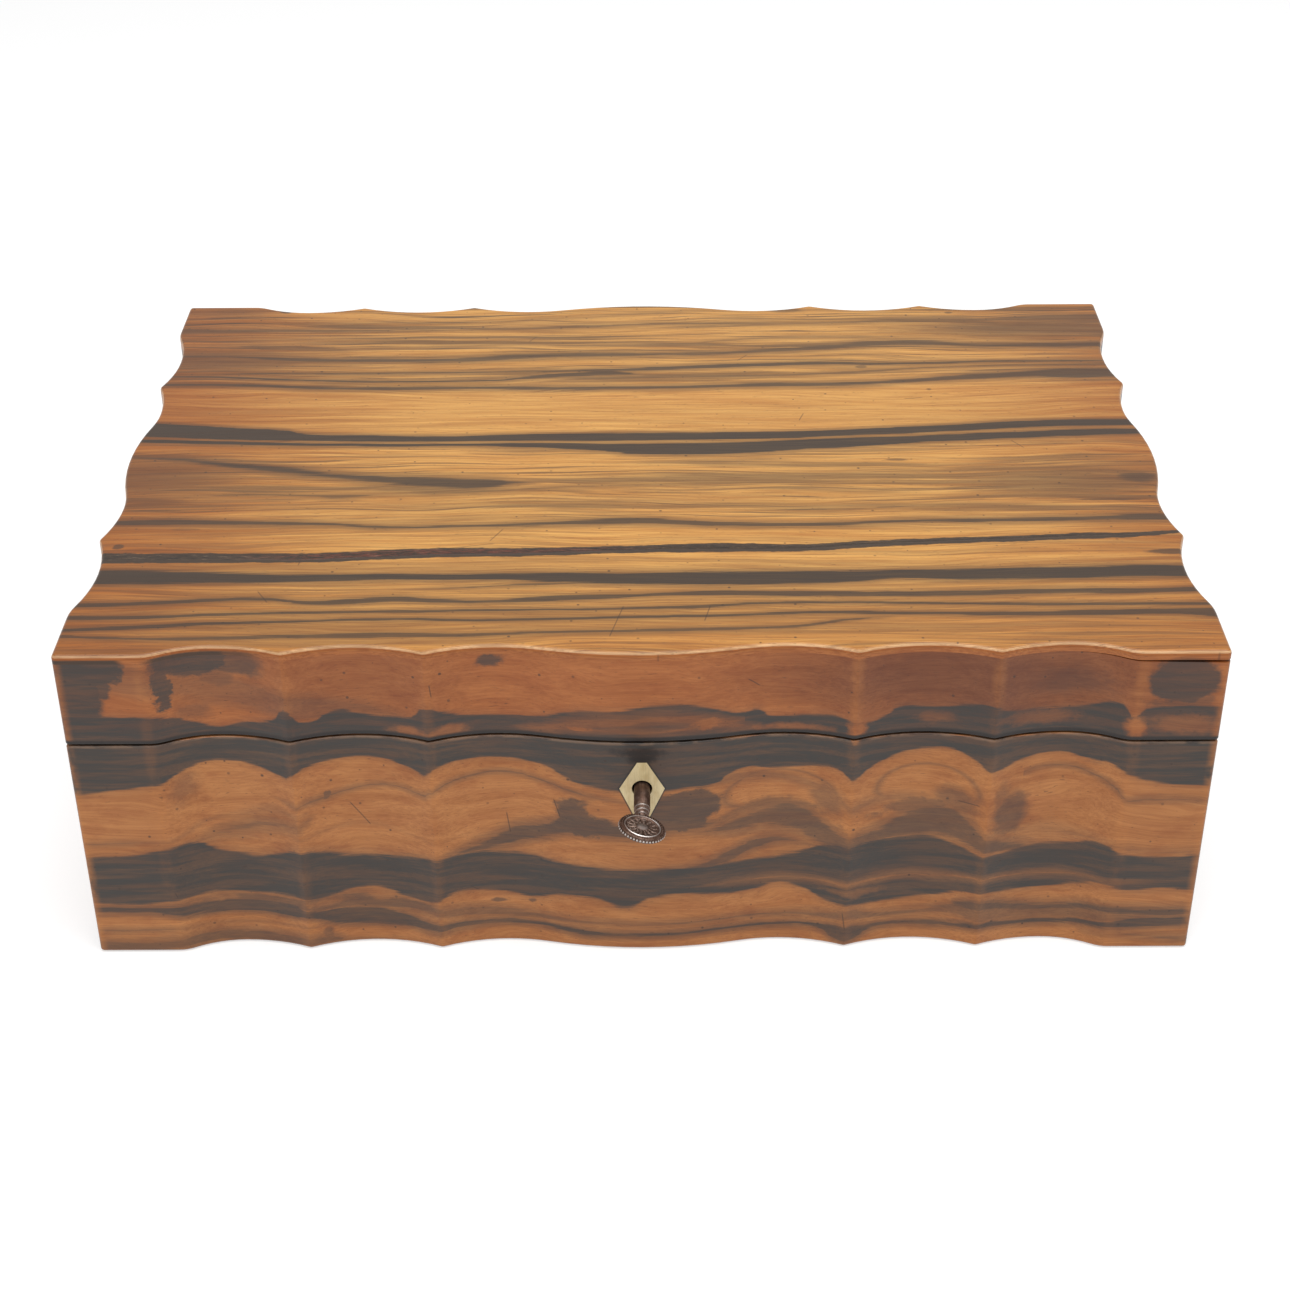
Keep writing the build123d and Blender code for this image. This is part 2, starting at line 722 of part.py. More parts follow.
def dividers():
    """Two long dividers and two cross dividers in each of the three rows."""
    bottom = tray_bottom + tray_floor_thickness
    inner_x = tray_half_width - tray_wall
    inner_y = tray_half_depth - tray_wall
    half = divider_thickness / 2
    pieces = {}
    for row, end in (("front", -1), ("back", 1)):
        y = end * long_divider_offset
        pieces[f"tray_long_divider_{row}"] = box_between(-inner_x, inner_x, y - half, y + half,
                                                         bottom, lid_seat)
    rows = {
        "front": (-inner_y, -long_divider_offset - half, outer_row_divider_offset),
        "middle": (-long_divider_offset + half, long_divider_offset - half,
                   middle_row_divider_offset),
        "back": (long_divider_offset + half, inner_y, outer_row_divider_offset),
    }
    for row, (y0, y1, offset) in rows.items():
        for hand, side in (("left", -1), ("right", 1)):
            x = side * offset
            pieces[f"tray_{row}_divider_{hand}"] = box_between(x - half, x + half, y0, y1,
                                                               bottom, lid_seat)
    return pieces


def compartment_lids():
    """A loose lid with a turned knob on each corner compartment."""
    outer_x = tray_half_width - tray_wall + compartment_lid_ledge - compartment_lid_gap
    outer_y = tray_half_depth - tray_wall + compartment_lid_ledge - compartment_lid_gap
    pieces = {}
    for row, end in (("front", -1), ("back", 1)):
        for hand, side in (("left", -1), ("right", 1)):
            x0, x1 = side * outer_row_divider_offset, side * outer_x
            y0, y1 = end * long_divider_offset, end * outer_y
            lid = box_between(x0, x1, y0, y1, lid_seat, tray_top)
            lid = fillet(lid.edges().group_by(Axis.Z)[-1], compartment_lid_gap)
            spot = Pos((x0 + x1) / 2, (y0 + y1) / 2, tray_top)
            peg_space = Pos(0, 0, -compartment_lid_thickness / 2) * Cylinder(
                knob_peg_radius, compartment_lid_thickness)
            pieces[f"{row}_{hand}_compartment_lid"] = lid - spot * peg_space
            pieces[f"{row}_{hand}_lid_knob"] = spot * turned_knob()
    return pieces


def turned_knob():
    """A turned knob: foot, neck and rounded head, with a peg through the lid."""
    bottom = -compartment_lid_thickness
    foot, low = knob_foot
    head = (foot, knob_head_start)
    brim = (knob_brim_radius, knob_head_start)
    tip = (knob_tip_radius, knob_height)
    outline = [
        Polyline((0, bottom), (knob_peg_radius, bottom), (knob_peg_radius, 0), (foot, 0),
                 (foot, low)),
        ThreePointArc((foot, low), (knob_neck_radius, (low + knob_head_start) / 2), head),
        Line(head, brim),
        ThreePointArc(brim, (knob_radius, knob_widest_height), knob_crown),
        ThreePointArc(knob_crown, knob_dome, tip),
        Polyline(tip, (0, knob_height), (0, bottom)),
    ]
    return revolve(Plane.XZ * make_face(outline), Axis.Z)


# Whole box


def work_box():
    """Every piece by its node name."""
    plan = carved_outline()
    pieces = {}
    walls = base_walls(plan)
    recess_depth = escutcheon_thickness + front_bow_depth
    blank = escutcheon_blank(-half_depth - 1, -half_depth + recess_depth)
    inlay = (walls["front"] & blank) - keyhole(-half_depth - 1, lock_front)
    walls["front"] -= blank
    for side, wall in walls.items():
        pieces[f"base_{side}_wall"] = wall
    pieces["base_board"] = base_board()
    for side, wall in lid_walls(plan).items():
        pieces[f"lid_{side}_wall"] = wall
    pieces["lid_top_board"] = lid_top_board(plan)
    for hand, side in (("left", -1), ("right", 1)):
        centre = side * hinge_offset
        pieces[f"{hand}_hinge_base_leaf"] = hinge_leaf(centre, lid_side=False)
        pieces[f"{hand}_hinge_lid_leaf"] = hinge_leaf(centre, lid_side=True)
        pieces[f"{hand}_hinge_pin"] = rod_x(centre - hinge_length / 2, centre + hinge_length / 2,
                                            hinge_axis_y, base_height, hinge_pin_radius)
        pieces[f"tray_bearer_{hand}"] = tray_bearer(side)
    pieces["base_hinge_screws"] = placed_screws(hinge_screw_places(1), screw_length)
    pieces["lid_hinge_screws"] = placed_screws(hinge_screw_places(-1), screw_length)
    pieces["lock_case"] = lock_case()
    pieces["lock_cap"] = lock_cap()
    pieces["lock_bolt"] = lock_bolt()
    pieces["lock_stumps"] = lock_stumps()
    pieces["drill_pin"] = drill_pin()
    pieces["bolt_spring"] = bolt_spring()
    pieces["lock_screws"] = placed_screws(lock_screw_places(), lock_screw_length)
    pieces["link_plate"] = link_plate()
    pieces["link_plate_screws"] = placed_screws(link_screw_places(), screw_length)
    pieces["key_escutcheon"] = inlay
    pieces["key"] = key()
    for side, wall in tray_walls().items():
        pieces[f"tray_{side}_wall"] = wall
    pieces["tray_floor"] = tray_floor()
    pieces.update(dividers())
    pieces.update(compartment_lids())
    return pieces


def write_parts(pieces):
    """One STEP file per node. A group of loose solids is written as a compound."""
    os.makedirs("parts", exist_ok=True)
    for name, piece in pieces.items():
        solids = piece if isinstance(piece, list) else [piece]
        solids = [solid for item in solids for solid in item.solids()]
        shape = solids[0] if len(solids) == 1 else Compound(children=solids)
        shape.label = name
        export_step(shape, f"parts/{name}.step")


write_parts(work_box())
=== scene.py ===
import math

import bmesh
import bpy
from mathutils import Matrix, Vector


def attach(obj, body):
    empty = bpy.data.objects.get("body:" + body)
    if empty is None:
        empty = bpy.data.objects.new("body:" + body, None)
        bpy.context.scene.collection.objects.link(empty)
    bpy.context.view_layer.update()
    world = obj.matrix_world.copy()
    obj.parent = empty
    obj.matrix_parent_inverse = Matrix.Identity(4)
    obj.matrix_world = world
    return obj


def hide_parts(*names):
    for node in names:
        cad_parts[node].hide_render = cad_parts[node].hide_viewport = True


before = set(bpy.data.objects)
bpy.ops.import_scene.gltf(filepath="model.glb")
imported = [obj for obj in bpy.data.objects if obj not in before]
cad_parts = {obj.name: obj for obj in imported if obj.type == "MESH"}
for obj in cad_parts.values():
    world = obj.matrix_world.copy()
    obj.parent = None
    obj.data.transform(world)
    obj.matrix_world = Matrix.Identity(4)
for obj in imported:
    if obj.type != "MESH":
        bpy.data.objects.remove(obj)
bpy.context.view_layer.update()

# Everything on the box is measured here in millimetres: x along the front, y towards the hinges, z up.
mm = 0.001
half_width = 165.0
half_depth = 117.5
box_height = 107.0
split_height = 76.0
lid_gap = 0.6
keyhole_height = 60.0
carving_depth = 9.0
front_ridges = (61.0, 101.0, 141.0)
side_ridges = (52.0, 96.5)

# Wood colours, as the polished wood shows them in plain light.
golden_wood = (0.690, 0.360, 0.092, 1)
ember_wood = (0.400, 0.138, 0.022, 1)
russet_wood = (0.500, 0.205, 0.062, 1)
copper_wood = (0.460, 0.158, 0.042, 1)
lining_wood = (0.235, 0.085, 0.034, 1)
lining_pore = (0.045, 0.02, 0.012, 1)
lining_dust = (0.30, 0.16, 0.09, 1)
# Rubbed wood with a painted highlight, for the pale line along the base's upper edge.
worn_and_highlight_wood = (0.40, 0.23, 0.13, 1)
ridge_wood = (0.68, 0.27, 0.07, 1)
edge_wood = (0.42, 0.13, 0.022, 1)
# A painted highlight colour for the lid's rounded top edge.
painted_edge_highlight = (0.92, 0.66, 0.40, 1)
pore_brown = (0.040, 0.021, 0.013, 1)
# Black for soot, and for the painted shade of the gap at the opening.
soot_and_shade_black = (0.010, 0.006, 0.005, 1)
splinter_red = (0.150, 0.034, 0.020, 1)
splinter_pale = (0.34, 0.24, 0.16, 1)
splinter_black = (0.006, 0.004, 0.003, 1)
warm_darks = ((0.030, 0.020, 0.013, 1), (0.062, 0.037, 0.022, 1))
cool_darks = ((0.026, 0.024, 0.022, 1), (0.050, 0.043, 0.037, 1))
# Tints that a wood colour is multiplied by.
fibre_shade = (0.58, 0.43, 0.32, 1)
fibre_sheen = (1.16, 1.12, 1.05, 1)
blush_tint = (0.86, 0.66, 0.50, 1)
haze_tint = (0.66, 0.50, 0.42, 1)
mottle_tint = (0.70, 0.52, 0.42, 1)
lift_tint = (1.12, 1.10, 1.04, 1)
umber_tint = (0.44, 0.41, 0.52, 1)
lining_shade = (0.62, 0.52, 0.46, 1)
lining_fibres = (0.60, 0.50, 0.44, 1)


class Flow:
    """A number, colour or place on its way through one finish, joined by ordinary signs."""

    def __init__(self, graph, socket):
        self.graph = graph
        self.socket = socket

    def also(self, output):
        """Another output of the same node."""
        return Flow(self.graph, self.socket.node.outputs[output])

    def maths(self, operation, *values):
        return self.graph.node("ShaderNodeMath", {"operation": operation}, dict(enumerate(values)))

    def __add__(self, other):
        return self.maths("ADD", self, other)

    def __sub__(self, other):
        return self.maths("SUBTRACT", self, other)

    def __rsub__(self, other):
        return self.maths("SUBTRACT", other, self)

    def __mul__(self, other):
        return self.maths("MULTIPLY", self, other)

    def __truediv__(self, other):
        return self.maths("DIVIDE", self, other)

    def __abs__(self):
        return self.maths("ABSOLUTE", self)

    def __rpow__(self, base):
        return self.maths("POWER", base, self)

    def most(self, other):
        return self.maths("MAXIMUM", self, other)

    def least(self, other):
        return self.maths("MINIMUM", self, other)

    def sine(self):
        return self.maths("SINE", self)

    def angle_to(self, other):
        """The angle of a point whose height is this number and whose run is the other."""
        return self.maths("ARCTAN2", self, other)

    __radd__ = __add__
    __rmul__ = __mul__


class Graph:
    """A node tree of any kind, filled through one method."""

    def __init__(self, tree):
        self.tree = tree
        tree.nodes.clear()

    def node(self, kind, settings=None, values=None, output=0):
        """Makes one node: first its settings, then the values or links of its sockets."""
        made = self.tree.nodes.new(kind)
        for name, value in (settings or {}).items():
            if name == "course":
                lay_course(made.mapping, value)
            else:
                setattr(made, name, value)
        for name, value in (values or {}).items():
            if isinstance(value, Flow):
                self.tree.links.new(value.socket, made.inputs[name])
            elif isinstance(value, list):
                for flow in value:
                    self.tree.links.new(flow.socket, made.inputs[name])
            else:
                made.inputs[name].default_value = value
        return Flow(self, made.outputs[output]) if made.outputs else None


class Finish(Graph):
    """One finish of the box: a material, its nodes, and the place of each point in millimetres."""

    def __init__(self, name):
        self.material = bpy.data.materials.new(name)
        self.material.use_nodes = True
        super().__init__(self.material.node_tree)
        here = self.node("ShaderNodeTexCoord", output="Object")
        self.place = self.vector("MULTIPLY", here, (1 / mm, 1 / mm, 1 / mm))
        self.x = self.node("ShaderNodeSeparateXYZ", {}, {0: self.place}, "X")
        self.y, self.z = self.x.also("Y"), self.x.also("Z")

    def vector(self, operation, *values):
        """Maths on places; only the length comes out as a number."""
        output = "Value" if operation == "LENGTH" else "Vector"
        return self.node("ShaderNodeVectorMath", {"operation": operation}, dict(enumerate(values)), output)

    def at(self, x, y, z=0.0):
        """A place made of three numbers."""
        return self.node("ShaderNodeCombineXYZ", {}, {0: x, 1: y, 2: z})

    def step(self, value, none, full):
        """A soft step: 0 where the value is at none, 1 where it is at full."""
        return self.node("ShaderNodeMapRange", {"interpolation_type": "SMOOTHSTEP"},
                         {"Value": value, "From Min": none, "From Max": full})

    def cloud(self, size, detail=2.0, rough=0.5, twist=0.0, place=None):
        """A soft noise from 0 to 1, with the length of its patches along each axis in millimetres."""
        shrink = tuple(1.0 / length for length in size)
        stretched = self.vector("MULTIPLY", self.place if place is None else place, shrink)
        return self.node("ShaderNodeTexNoise", {}, {
            "Vector": stretched, "Scale": 1.0, "Detail": detail, "Roughness": rough, "Distortion": twist})

    def drift(self, reach, *cloud, **place):
        """The same noise about 0, going half its reach to either side."""
        return (self.cloud(*cloud, **place) - 0.5) * reach

    def spots(self, none, full, *cloud, **place):
        """The same noise cut into spots: 0 where it is at none, 1 where it is at full."""
        return self.step(self.cloud(*cloud, **place), none, full)

    def mix(self, share, first, second, way="MIX"):
        """The first colour, with a share of the second over it."""
        return self.node("ShaderNodeMix", {"data_type": "RGBA", "blend_type": way},
                         {0: share, 6: first, 7: second}, 2)

    def tint(self, share, colour, tint):
        """A colour multiplied by a tint, as far as share says."""
        return self.mix(share, colour, tint, "MULTIPLY")

    def mix_number(self, share, first, second):
        """The same mix for two plain numbers."""
        return self.node("ShaderNodeMix", {"data_type": "FLOAT"}, {0: share, 2: first, 3: second})

    def relief(self, height, depth, strength=1.0, under=None):
        """A bump with its depth in millimetres, over another one where there is one."""
        values = {"Height": height, "Distance": depth * mm, "Strength": strength}
        if under is not None:
            values["Normal"] = under
        return self.node("ShaderNodeBump", {}, values)

    def surface(self, **values):
        """Closes the finish with its surface shader; an underscore stands for a space in a socket's name."""
        named = {name.replace("_", " "): value for name, value in values.items()}
        self.close(self.node("ShaderNodeBsdfPrincipled", {}, named))
        return self.material

    def close(self, shader):
        """Leads a shader to the material's output."""
        self.node("ShaderNodeOutputMaterial", {}, {"Surface": shader})


def lay_course(mapping, points):
    """Draws a curve node's line through points, the first of them in place of its own two ends."""
    line = mapping.curves[0]
    for number, (along, height) in enumerate(points):
        if number < 2:
            line.points[number].location = (along, height)
        else:
            line.points.new(along, height)
    mapping.update()


def darkest(masks):
    """The greatest of several masks at each point."""
    total = masks[0]
    for mask in masks[1:]:
        total = total.most(mask)
    return total


class Board:
    """The figure of one board: stripes and patches over its width and a height, both in millimetres."""

    widest = 10.0
    narrowest = -3.0
    halo_depth = 0.58

    def __init__(self, finish, across, floor, ceiling, fray, blotch=0.0, halo=0.0):
        self.finish = finish
        self.across = across
        self.floor, self.rise = floor, ceiling - floor
        self.share = (finish.x + half_width) / (2 * half_width)
        self.fray, self.blotch, self.halo = fray, blotch, halo
        self.spot_place = finish.at(finish.x, across)

    def course(self, points, base, height):
        """A line along the board through given points, as a height above base."""
        laid = [((x + half_width) / (2 * half_width), (h - base) / height) for x, h in points]
        line = self.finish.node("ShaderNodeFloatCurve", {"course": laid}, {"Value": self.share})
        return line * height + base

    def stripe(self, depth, edge, points):
        """A stripe that follows (x, height, half width) points; a half width below 0 ends it."""
        middle = self.course([(x, h) for x, h, _ in points], self.floor, self.rise)
        half = self.course([(x, w) for x, _, w in points], self.narrowest, self.widest - self.narrowest)
        # A soft edge frays more than a sharp one.
        away = abs(self.across - middle) + self.fray * (0.35 + 0.9 * edge)
        core = self.finish.step(away, half + edge, half - edge) * depth
        if not self.halo:
            return core
        return core.most(self.finish.step(away, half + edge + self.halo, half) * (depth * self.halo_depth))

    def above(self, edge, points):
        """1 above a line along the board, 0 below it."""
        line = self.course(points, self.floor, self.rise)
        over = self.across - line + self.fray * (0.5 + 0.6 * min(edge, 1.5))
        return self.finish.step(over, -edge, edge)

    def between(self, edge, lower, upper):
        """1 between two lines along the board."""
        return self.above(edge, lower) * (1.0 - self.above(edge, upper))

    def reach(self, centre, half_size):
        """How far a point lies from an oval's centre, where 1 is on the oval."""
        from_centre = self.finish.vector("SUBTRACT", self.spot_place, (*centre, 0.0))
        shrunk = self.finish.vector("MULTIPLY", from_centre, (1 / half_size[0], 1 / half_size[1], 0.0))
        return self.finish.vector("LENGTH", shrunk)

    def patch(self, depth, edge, centre, half_size):
        """An oval patch, its edge given as a share of its half size."""
        # The outline of a small spot is calmer than that of a large patch.
        ragged = self.blotch * (1 / min(half_size)) * min(1.0, 0.4 * min(half_size))
        return self.finish.step(self.reach(centre, half_size) + ragged, 1 + edge, 1 - edge) * depth

    def ring(self, depth, edge, centre, half_size, thickness):
        """An oval line, its thickness and edge given as shares of its half size."""
        off_line = abs(self.reach(centre, half_size) - 1.0)
        return self.finish.step(off_line, thickness + edge, thickness - edge) * depth


# Top board: each stripe is its depth of colour, the softness of its edge, and points (x, y, half width).
top_stripes = {
    "back_line": (0.55, 0.5, ((-165, 102, 0.4), (-120, 102.5, 0.5), (-85, 102, 0.5), (-60, 102.6, 0.5),
        (-48, 103.4, 0.6), (-38, 105.5, 0.5), (-18, 107, 0.3), (0, 110, 0.4), (30, 113, -0.5))),
    "second_line": (0.72, 0.7, ((-165, 96.5, 2.4), (-135, 96.5, 1.4), (-100, 96.3, 1.1), (-72, 98, 1.2),
        (-48, 97, 1.1), (-20, 99, 1.3), (5, 101, 1.0), (40, 101.2, 1.0), (75, 101.6, 0.9), (90, 103, 1.2),
        (120, 103, 1.2), (150, 105, 2.0), (165, 105, 2.6))),
    "third_line": (0.35, 0.8, ((-165, 91, 0.4), (-135, 90.3, 0.7), (-90, 89, 0.6), (-45, 88, 0.6),
        (-15, 88.5, 0.0), (5, 90, -1))),
    "blunt_line": (0.62, 0.5, ((-165, 84, -0.8), (-145, 84, 0.2), (-132, 82.6, 1.8), (-118, 81.6, 1.9),
        (-106, 80.4, 1.1), (-98, 81, 0.45), (-50, 84, 0.35), (-15, 84.6, 0.3), (16, 84, 0.6),
        (28, 86.4, 0.6), (60, 89.3, 0.6), (90, 87.4, 0.3), (120, 86, -0.5))),
    "winding_stripe": (0.88, 1.2, ((-165, 75.4, 1.1), (-140, 74.8, 1.2), (-118, 72.3, 1.8),
        (-90, 71.6, 1.8), (-60, 72.2, 2.0), (-44, 74, 2.2), (-22, 75.4, 2.0), (5, 75.6, 1.3),
        (25, 76.5, 1.3), (45, 78.4, 1.8), (65, 81.2, 2.4), (85, 84, 2.5), (102, 84, 2.2), (118, 82, 1.6),
        (140, 82, 1.8), (165, 82, 2.4))),
    "left_faint": (0.32, 0.7, ((-165, 66, 0.5), (-140, 66.4, 0.6), (-120, 65.4, 0.8), (-80, 66, 0.3),
        (-40, 67, -0.6))),
    "pair_upper": (0.92, 0.55, ((-165, 62, -1.2), (-148, 61.4, -0.2), (-138, 61.6, 0.4), (-100, 61, 0.5),
        (-50, 62.1, 0.6), (-18, 63, 0.8), (0, 64, 1.4), (20, 65.4, 1.6), (45, 67.1, 1.5), (66, 68.2, 1.5),
        (80, 67.4, 1.1), (120, 68.4, 0.8), (165, 69.2, 0.8))),
    "pair_lower": (0.92, 0.6, ((-165, 59.4, 0.9), (-146, 59, 1.0), (-132, 57.6, 1.0), (-112, 56, 0.7),
        (-92, 55, 0.8), (-66, 55, 0.8), (-50, 55.6, 0.8), (-38, 57.6, 1.2), (-24, 59.6, 1.6),
        (-12, 61, 1.6), (0, 60, 0.2), (12, 59, -1.0))),
    "pair_middle": (0.72, 0.6, ((-30, 56, -1.0), (-14, 57, 1.2), (5, 58, 1.6), (22, 58.4, 1.2),
        (50, 58.9, 0.9), (66, 60, 1.1), (84, 62, 0.9), (105, 64.5, 0.7), (130, 65.4, 0.8),
        (165, 66.4, 1.0))),
    "low_line": (0.9, 0.7, ((-165, 53.4, 1.0), (-135, 52.3, 1.2), (-110, 50.4, 1.3), (-85, 49.4, 1.4),
        (-60, 50, 1.3), (-30, 49.4, 1.6), (0, 49.2, 1.4), (20, 50, 1.3), (40, 51.2, 1.6), (70, 51.7, 1.5),
        (90, 53.6, 1.6), (110, 56.2, 2.0), (130, 58.7, 2.3), (150, 59.6, 3.6), (165, 59.4, 3.4))),
    "twin_back": (1.0, 0.3, ((-165, 19.9, 4.9), (-145, 17.8, 4.5), (-130, 16.2, 4.1), (-117, 15.2, 3.5),
        (-110, 13.9, 2.3), (-90, 12.9, 2.4), (-60, 12.4, 2.0), (-42, 12.9, 2.4), (-20, 13.2, 2.8),
        (20, 13.3, 2.7), (50, 14.2, 2.5), (72, 16, 2.4), (100, 18.3, 2.5), (135, 21.7, 2.4),
        (165, 22, 2.0))),
    "twin_front": (1.0, 0.35, ((-165, 11.9, 1.3), (-145, 10.9, 1.2), (-120, 9.3, 1.1), (-90, 8.1, 1.0),
        (-60, 8.1, 1.0), (-38, 7.6, 1.6), (-18, 6.4, 2.4), (0, 4.6, 3.7), (28, 5.0, 3.9), (50, 7.0, 3.5),
        (75, 9.2, 3.1), (95, 11.2, 2.4), (120, 13.2, 2.4), (145, 15, 2.3), (165, 15.5, 1.8))),
    "leaning_stripe": (0.95, 1.8, ((-165, 0.5, 0.8), (-148, -1.4, 1.5), (-132, -5, 2.2), (-112, -9.4, 2.8),
        (-98, -12.6, 2.2), (-82, -15.4, 2.8), (-66, -17.4, 4.0), (-52, -18.2, 3.9), (-42, -17.8, 1.6),
        (-31, -17.4, -1.6))),
    "leaning_foot": (0.75, 0.9, ((-165, -27.6, 0.2), (-140, -26, 0.5), (-118, -24.7, 0.9),
        (-104, -25.6, 0.8), (-94, -26.2, 1.5), (-82, -25.2, 0.6), (-60, -24, 0.8), (-42, -22.6, 0.7),
        (-18, -20.6, 0.5), (20, -18.6, 0.1), (60, -17.6, -0.8))),
    "right_haze": (0.45, 1.3, ((-40, -17, -1.0), (-10, -15.7, 0.2), (20, -14.6, 0.4), (60, -12.4, 0.6),
        (84, -11, 0.9), (105, -8.8, 0.7), (130, -8.6, 0.8), (150, -7.2, 1.6), (165, -7, 1.2))),
    "mid_haze": (0.34, 1.9, ((-130, -34, -0.8), (-100, -33.4, 1.0), (-55, -32.6, 2.0), (-25, -30.2, 1.8),
        (0, -30, 1.5), (30, -32, 1.6), (58, -34.3, 1.4), (85, -35.5, 0.0), (110, -37, -1.6))),
    "mid_hair": (0.75, 0.3, ((38, -36, -0.4), (48, -36, 0.25), (68, -35.6, 0.35), (80, -34.2, 0.3),
        (97, -33, 0.2), (110, -32.6, -0.4))),
    "cross_hair": (0.55, 0.35, ((70, -34, -0.3), (80, -35, 0.3), (92, -36.2, 0.4), (106, -36.4, 0.2),
        (118, -36, -0.4))),
    "long_stripe": (0.92, 0.7, ((-165, -42.5, 1.5), (-145, -42, 1.8), (-120, -43, 1.4), (-98, -43.6, 1.1),
        (-80, -45.6, 0.9), (-50, -45, 0.9), (-22, -43.8, 1.5), (0, -42.6, 1.8), (20, -44.4, 1.5),
        (40, -45.2, 1.3), (60, -45.2, 1.2), (82, -43.4, 1.1), (110, -43, 1.3), (140, -42.2, 1.4),
        (156, -41.4, 2.0), (165, -42, 1.6))),
    "feather": (0.4, 0.9, ((-165, -39.6, 0.2), (-140, -40, 0.5), (-110, -41.5, 1.0), (-80, -42.5, 1.2),
        (-50, -41, 0.8), (-20, -40.6, 0.4), (0, -40, -0.8))),
    "broad_stripe": (1.0, 0.8, ((-165, -75.0, 4.2), (-145, -75.0, 3.9), (-120, -75.6, 3.0),
        (-100, -75.8, 2.3), (-60, -75.6, 1.9), (-42, -75.4, 2.0), (-26, -76, 2.9), (0, -77, 3.6),
        (20, -77, 3.9), (45, -76.5, 4.0), (63, -76, 3.6), (75, -75, 2.9), (92, -75.1, 3.5),
        (115, -74.8, 3.6), (140, -74, 3.6), (165, -74, 3.3))),
    "broad_haze": (0.45, 1.4, ((-165, -72.5, 2.0), (-130, -73, 2.0), (-90, -73, 1.6), (-40, -72, 1.2),
        (0, -71.4, 0.6), (40, -70, 0.2), (90, -69.6, 0.4), (140, -69, 0.8), (165, -68.6, 1.0))),
    "broad_tail": (0.8, 0.45, ((-66, -82.6, -0.5), (-56, -82, 0.3), (-42, -80.6, 0.5), (-28, -79.6, 1.0),
        (-14, -78.6, 0.8), (0, -78, -1.0), (20, -78, -2))),
    "first_hair": (0.92, 0.35, ((-165, -90.5, 1.2), (-140, -89.6, 1.1), (-126, -88, 1.0),
        (-108, -87.7, 0.8), (-98, -89.6, 0.8), (-84, -89, 1.3), (-70, -88, 1.4), (-58, -89.2, 1.0),
        (-44, -89.6, 0.9), (-30, -88.4, 1.4), (-12, -87.2, 1.5), (3, -86.2, 0.9), (20, -85, 1.3),
        (45, -85.8, 1.4), (65, -86.2, 1.4), (90, -86, 1.5), (120, -85, 1.4), (150, -84.8, 1.2),
        (165, -84, 1.3))),
    "second_hair": (0.9, 0.2, ((-165, -97.6, 1.0), (-140, -97.3, 0.9), (-118, -95.9, 0.8),
        (-60, -94.5, 0.7), (0, -93.7, 0.65), (15, -93, 0.9), (30, -91.5, 0.7), (50, -90.8, 0.75),
        (80, -91.5, 0.7), (120, -92, 0.75), (165, -92.5, 0.8))),
    "third_hair": (0.92, 0.2, ((-165, -104, 1.0), (-140, -102.5, 1.0), (-120, -101, 0.8), (-100, -100, 0.7),
        (-70, -99, 0.65), (-40, -99.5, 0.65), (0, -98.3, 0.65), (30, -97.5, 0.7), (50, -96.4, 0.8),
        (75, -96.8, 0.8), (100, -97.3, 1.0), (130, -97, 1.4), (150, -96.4, 1.5), (165, -97, 2.5))),
    "fourth_hair": (0.85, 0.3, ((-165, -107.5, 0.9), (-140, -109, 0.8), (-120, -108.5, 0.9),
        (-100, -108, 1.0), (-72, -107.4, 1.3), (-50, -107.8, 1.0), (-30, -106.5, 0.8), (-10, -106, 0.8),
        (10, -105.3, 0.9), (30, -104.5, 0.8), (45, -103.6, 0.7), (56, -101, 0.7), (70, -98.6, 0.0))),
    "hair_haze": (0.35, 0.9, ((-30, -101, -0.6), (-5, -101, 0.7), (20, -100.6, 1.2), (45, -99.4, 1.2),
        (70, -98, 0.2), (100, -98, -0.8))),
}
# How streaky the top board is from front to back, as shares of the depth and of the full amount.
busy_rows = ((0, 0.42), (0.16, 0.45), (0.245, 0.35), (0.30, 0.3), (0.335, 0.7), (0.45, 0.75), (0.52, 0.6),
    (0.60, 0.15), (0.70, 0.12), (0.725, 0.7), (0.85, 0.85), (1, 0.9))
# The long split of the top board, its points written as a stripe's are.
split_stripe = ((-165, -64, 3.0), (-130, -64, 2.5), (-100, -64, 2.4), (-82, -62.9, 2.6), (-60, -61.6, 2.5),
    (-30, -61, 2.1), (0, -59.8, 2.1), (28, -59, 2.3), (50, -59.2, 1.8), (70, -57, 1.7), (90, -55.8, 1.5),
    (110, -54.6, 1.4), (130, -53.2, 1.5), (150, -52, 1.1), (165, -50.2, 0.3))
